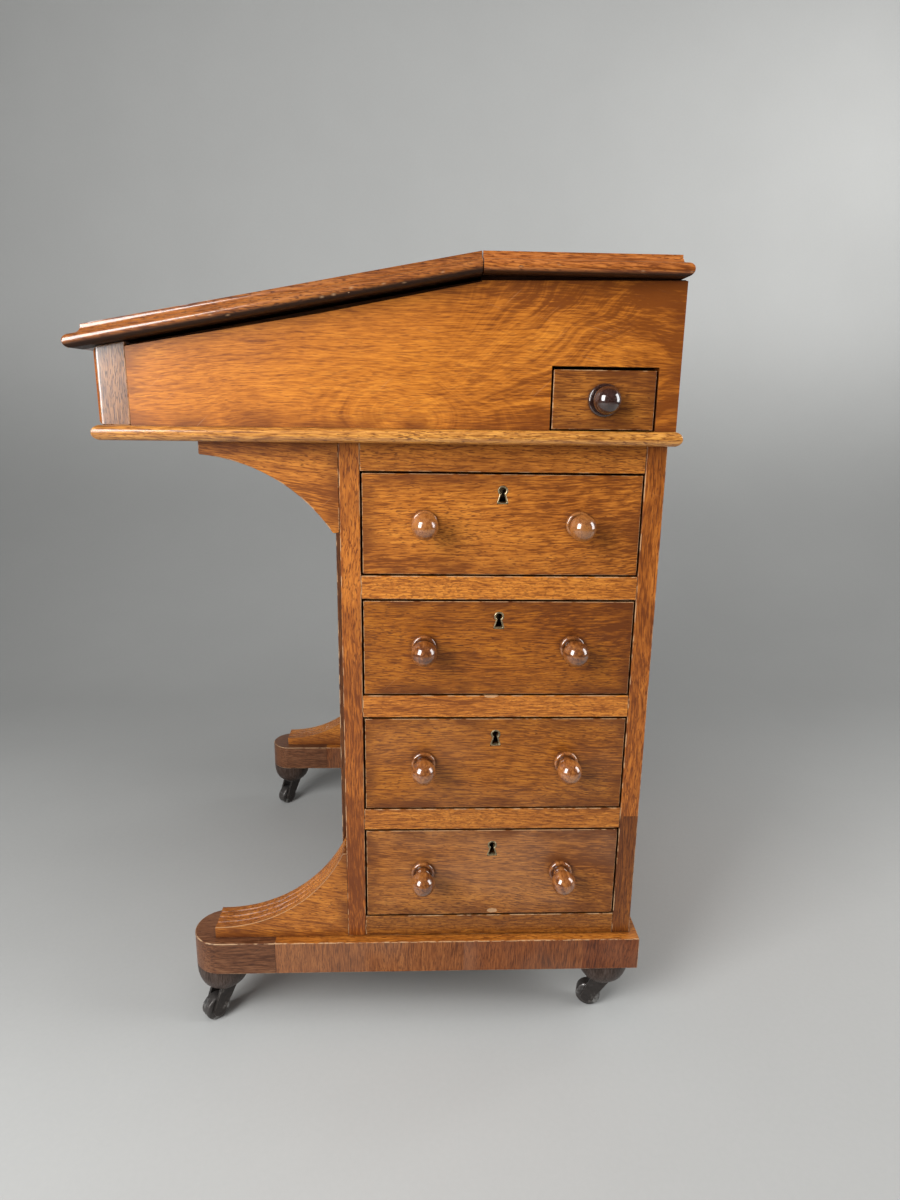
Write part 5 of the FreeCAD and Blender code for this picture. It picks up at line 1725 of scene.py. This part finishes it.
@dataclass
class Drawers:
    """Four drawers to the right and their dummies to the left.

    Attributes:
        centres: the middle height of each knob pair, from the top drawer down.
        face_x: where the drawer fronts' faces stand.
        middle_y: the drawers' middle.
        spacing: between a drawer's two knobs.
        tones: how bright each front is, from the top drawer down.
        blooms: how milky each front's polish is.
        scar: the chip out of the lowest front.
        gap: how far the fronts' edges are planed back.
    """

    centres: tuple[float, ...] = (0.5909, 0.4612, 0.32995, 0.19635)
    face_x: float = 0.2775
    middle_y: float = 0.11425
    spacing: float = 0.155
    tones: tuple[Colour, ...] = (
        (1.18, 1.06, 0.85), (0.86, 0.72, 0.35), (0.94, 0.84, 0.55), (0.96, 0.90, 0.85),
    )
    blooms: tuple[float, ...] = (0.0, 0.0, 0.05, 0.13)
    scar: tuple[float, float, float, float] = (0.116, 0.146, 0.006, 0.003)
    gap: float = 0.4 * MM

    def holes(self) -> tuple[float, ...]:
        """Return the Y of every hole through a front."""
        return tuple(self.middle_y + step * self.spacing for step in (-0.5, 0.0, 0.5))

    def front(self, name: str, node: str, work: Mesh, seed: int, wood: Timber) -> None:
        """Finish one drawer front.

        Args:
            name: the piece's name.
            node: its frame node.
            work: its mesh.
            seed: fixes its knocks.
            wood: its finish.
        """
        eased_in(work, self.gap)
        soften(work, 0.9 * MM, seed, knocks=20.0, shortest=15 * MM)
        settle(name, work, [wood], node)

    def drawer(self, number: int) -> None:
        """Finish a working drawer's front, carcase and lock.

        Args:
            number: the drawer, from the top down.
        """
        node = f"drawer_{number}_front"
        wood = Timber(
            f"{node}_wood", tinted(DRAWER_WOOD, self.tones[number - 1]), Grain.DEEP,
            20.0 + 2.7 * number, clouds=1.35, tilt=0.03 * (number - 2), wear=0.8, edge_grime_and_shade=0.8,
            painted_falloff=(1, 0.1, 0.25, 0.0, 0.2), polish=0.35, rim_of=node, scratches=0.15, painted_flank_shade=0.7,
            bloom_and_sheen=self.blooms[number - 1], scar=self.scar if number == 4 else None,
        )
        self.front(f"{node}_polished", node, lifted(node, self.holes()), 80 + number, wood)
        carcase(f"drawer_{number}_carcase", 90 + number)
        low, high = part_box(node)
        node = f"drawer_{number}_lock"
        Keyhole().fit(f"drawer_{number}_keyhole_lining", node, self.face_x, self.middle_y,
                      (low.z + high.z) / 2)
        case = max(solids(lifted(node)), key=lambda part: sum(f.calc_area() for f in part.faces))
        soften(case, 0.4 * MM, 95, knocks=0.0, shortest=8 * MM)
        settle(f"{node}_case", case, [OLD_BRASS], node)

    def knobs(self, number: int, side: str) -> None:
        """Turn and set a drawer's two knobs.

        Args:
            number: the drawer, from the top down.
            side: right or left.
        """
        left = side == "left"
        node = "dummy_drawer_knobs" if left else f"drawer_{number}_knobs"
        for hand, step in (("front", -0.5), ("back", 0.5)):
            seed = number * 4 + 2 * (hand == "back") + left
            wood = Timber(
                f"knob_{number}_{hand}_{side}_wood", tinted(KNOB_WOOD, 0.85 + 0.06 * (seed % 5)),
                Grain.ACROSS, seed * 0.7, clouds=2.4, pores=0.5, polish=1.0, gloss=0.03,
                satin=0.3, wear=0.3, lustre=1.8, corners=0.85, fibre=1.0, ribbons=2.2, bands=2.2,
            )
            outward = -1.0 if left else 1.0
            place = (outward * self.face_x, self.middle_y + step * self.spacing,
                     self.centres[number - 1])
            Knob().set_in(f"drawer_{number}_knob_{hand}_{side}", place, outward, wood, node, seed)

    def build(self) -> None:
        """Make the drawers and the dummies."""
        for number in range(1, 5):
            self.drawer(number)
            self.knobs(number, "right")
            self.knobs(number, "left")
        node = "dummy_drawer_fronts"
        for number, work in enumerate(solids(lifted(node, self.holes()))):
            heights = [vert.co.z for vert in work.verts]
            wood = Timber(
                f"dummy_front_wood_{number + 1}", tinted(DRAWER_WOOD, self.tones[3 - number]),
                Grain.DEEP, 50.0 + 3.1 * number, clouds=1.9, wear=0.8, painted_flank_shade=0.7,
            )
            self.front(f"dummy_front_{4 - number}_polished", node, work, 100 + number, wood)
            Keyhole().fit(f"dummy_keyhole_lining_{4 - number}", "dummy_keyhole_linings",
                          -self.face_x, self.middle_y, (min(heights) + max(heights)) / 2)


@dataclass
class PenDrawer:
    """The small drawer in the side of the box, with its dark turned knob.

    Attributes:
        knob: its knob.
        place: where the knob sits.
        gap: how far the front's edges are planed back.
    """

    knob: Knob
    place: Place = (0.2985, 0.20525, 0.71255)
    gap: float = 0.5 * MM

    def build(self) -> None:
        """Finish the drawer and set its knob."""
        node = "pen_drawer_front"
        wood = Timber("pen_front_wood", tinted(DRAWER_WOOD, (0.92, 0.85, 0.75)), Grain.DEEP,
                      33.3, clouds=2.0, wear=0.6, edge_grime_and_shade=0.75, rim_of=node, painted_flank_shade=0.7)
        work = lifted(node, (self.place[1],))
        eased_in(work, self.gap)
        soften(work, 0.8 * MM, 110, knocks=20.0, shortest=9 * MM)
        settle(f"{node}_polished", work, [wood], node)
        carcase("pen_drawer_carcase", 111)
        dark = Timber("pen_knob_wood", DARK_KNOB_WOOD, Grain.ACROSS, 34.0, clouds=1.5, pores=0.2,
                      polish=1.0, gloss=0.04, satin=0.25, wear=0.2, lustre=1.8)
        self.knob.set_in("pen_drawer_knob_turned", self.place, 1.0, dark, "pen_drawer_knob", 5)


# ---- The studio ----


@dataclass
class Lamp:
    """A soft rectangular light.

    Attributes:
        name: its name.
        place: where it stands.
        aim: the point that it faces.
        size: its width and height.
        power: its power in watts.
        mirrored: whether polished things show it.
    """

    name: str
    place: Place
    aim: Place
    size: tuple[float, float]
    power: float
    mirrored: bool = True

    def hang(self) -> None:
        """Put the light in the scene."""
        light = bpy.data.lights.new(self.name, "AREA")
        light.shape = "RECTANGLE"
        light.size, light.size_y = self.size
        light.energy = self.power
        lamp = bpy.data.objects.new(self.name, light)
        lamp.location = self.place
        beam = Vector(self.aim) - Vector(self.place)
        lamp.rotation_euler = beam.to_track_quat("-Z", "Y").to_euler()
        lamp.visible_glossy = self.mirrored
        bpy.context.scene.collection.objects.link(lamp)


@dataclass
class Studio:
    """A grey paper sweep, two soft boxes, a soft ceiling and the camera.

    Attributes:
        eye: where the camera stands.
        pitch: how far it looks down.
        yaw: how far it looks to the back of the desk.
        roll: how far it leans.
        lens: its lens in millimetres over a 36 mm long side.
        bend_x: where the paper leaves the floor.
        bend_radius: the radius of its bend.
        wall_height: how high it stands.
        reach: how far the floor runs the other ways.
        lamps: the lights.
        room: the colour of the room round them.
        room_light: how bright the room is.
    """

    eye: Place = (1.06464, 0.03050, 0.71311)
    pitch: float = 0.2501863
    yaw: float = -0.0413884
    roll: float = -0.0141511
    lens: float = 23.7686
    bend_x: float = -0.72
    bend_radius: float = 1.25
    wall_height: float = 3.6
    reach: float = 6.0
    lamps: tuple[Lamp, ...] = (
        Lamp("left_soft_box", (1.44, -1.17, 1.25), (0.25, 0.05, 0.5), (0.95, 1.45), 53.0),
        Lamp("right_soft_box", (0.50, 2.05, 1.15), (0.2, 0.1, 0.5), (0.9, 1.5), 30.0),
        Lamp("ceiling", (1.0, 0.0, 2.9), (0.3, 0.0, 0.0), (2.2, 2.2), 34.0, mirrored=False),
        Lamp("wall_wash", (-0.85, 1.95, 1.7), (-1.97, 0.8, 1.1), (0.9, 0.9), 13.0),
    )
    room: Colour = (0.92, 0.96, 1.0)
    room_light: float = 0.05

    def camera(self) -> None:
        """Set up the camera."""
        forward, right, up = Vector((-1, 0, 0)), Vector((0, 1, 0)), Vector((0, 0, 1))
        turn = Matrix.Rotation(self.yaw, 3, up)
        forward, right = turn @ forward, turn @ right
        turn = Matrix.Rotation(-self.pitch, 3, right)
        forward, up = turn @ forward, turn @ up
        turn = Matrix.Rotation(self.roll, 3, forward)
        aim = Matrix((turn @ right, turn @ up, -forward)).transposed().to_4x4()
        lens = bpy.data.cameras.new("camera")
        lens.lens = self.lens
        lens.sensor_width = 36.0
        lens.clip_start = 0.02
        lens.clip_end = 60.0
        view = bpy.data.objects.new("camera", lens)
        view.matrix_world = Matrix.Translation(self.eye) @ aim
        bpy.context.scene.collection.objects.link(view)
        bpy.context.scene.camera = view

    def sweep(self) -> None:
        """Lay the paper: a floor that bends up into a wall behind the desk."""
        bend = arc((self.bend_x, self.bend_radius), self.bend_radius, -90.0, -180.0, 40)
        wall = (self.bend_x - self.bend_radius, self.wall_height)
        work = bmesh.new()
        rows = [
            [work.verts.new((x, y, z)) for y in (-self.reach, self.reach)]
            for x, z in ((self.reach, 0.0), *bend, wall)
        ]
        for low, high in zip(rows, rows[1:]):
            work.faces.new((low[0], high[0], high[1], low[1]))
        bmesh.ops.recalc_face_normals(work, faces=work.faces)
        mesh = bpy.data.meshes.new("paper_sweep")
        work.to_mesh(mesh)
        work.free()
        mesh.materials.append(Sweep("studio_paper").make())
        mesh.shade_smooth()
        paper = bpy.data.objects.new("paper_sweep", mesh)
        bpy.context.scene.collection.objects.link(paper)

    def build(self) -> None:
        """Set up the camera, the paper and the lights."""
        self.camera()
        self.sweep()
        for lamp in self.lamps:
            lamp.hang()
        world = bpy.data.worlds.new("room")
        world.use_nodes = True
        backing = world.node_tree.nodes["Background"]
        backing.inputs["Color"].default_value = (*self.room, 1.0)
        backing.inputs["Strength"].default_value = self.room_light
        bpy.context.scene.world = world
        bpy.context.scene.view_settings.view_transform = "Standard"


def main() -> None:
    """Build the desk and its studio."""
    logging.basicConfig(level=logging.INFO, format="%(message)s")
    low_knob = Knob(disc=15.5 * MM, disc_height=4.0 * MM, neck=8.5 * MM, ball=13.0 * MM,
                    projection=27.6 * MM)
    for part in (
        Studio(), Casters(), Base(), Pedestal(), Brackets(), WritingBox(), Top(), Drawers(),
        PenDrawer(low_knob),
    ):
        part.build()
        LOG.info("%s done", type(part).__name__)
    bpy.context.view_layer.update()


if __name__ == "__main__":
    main()
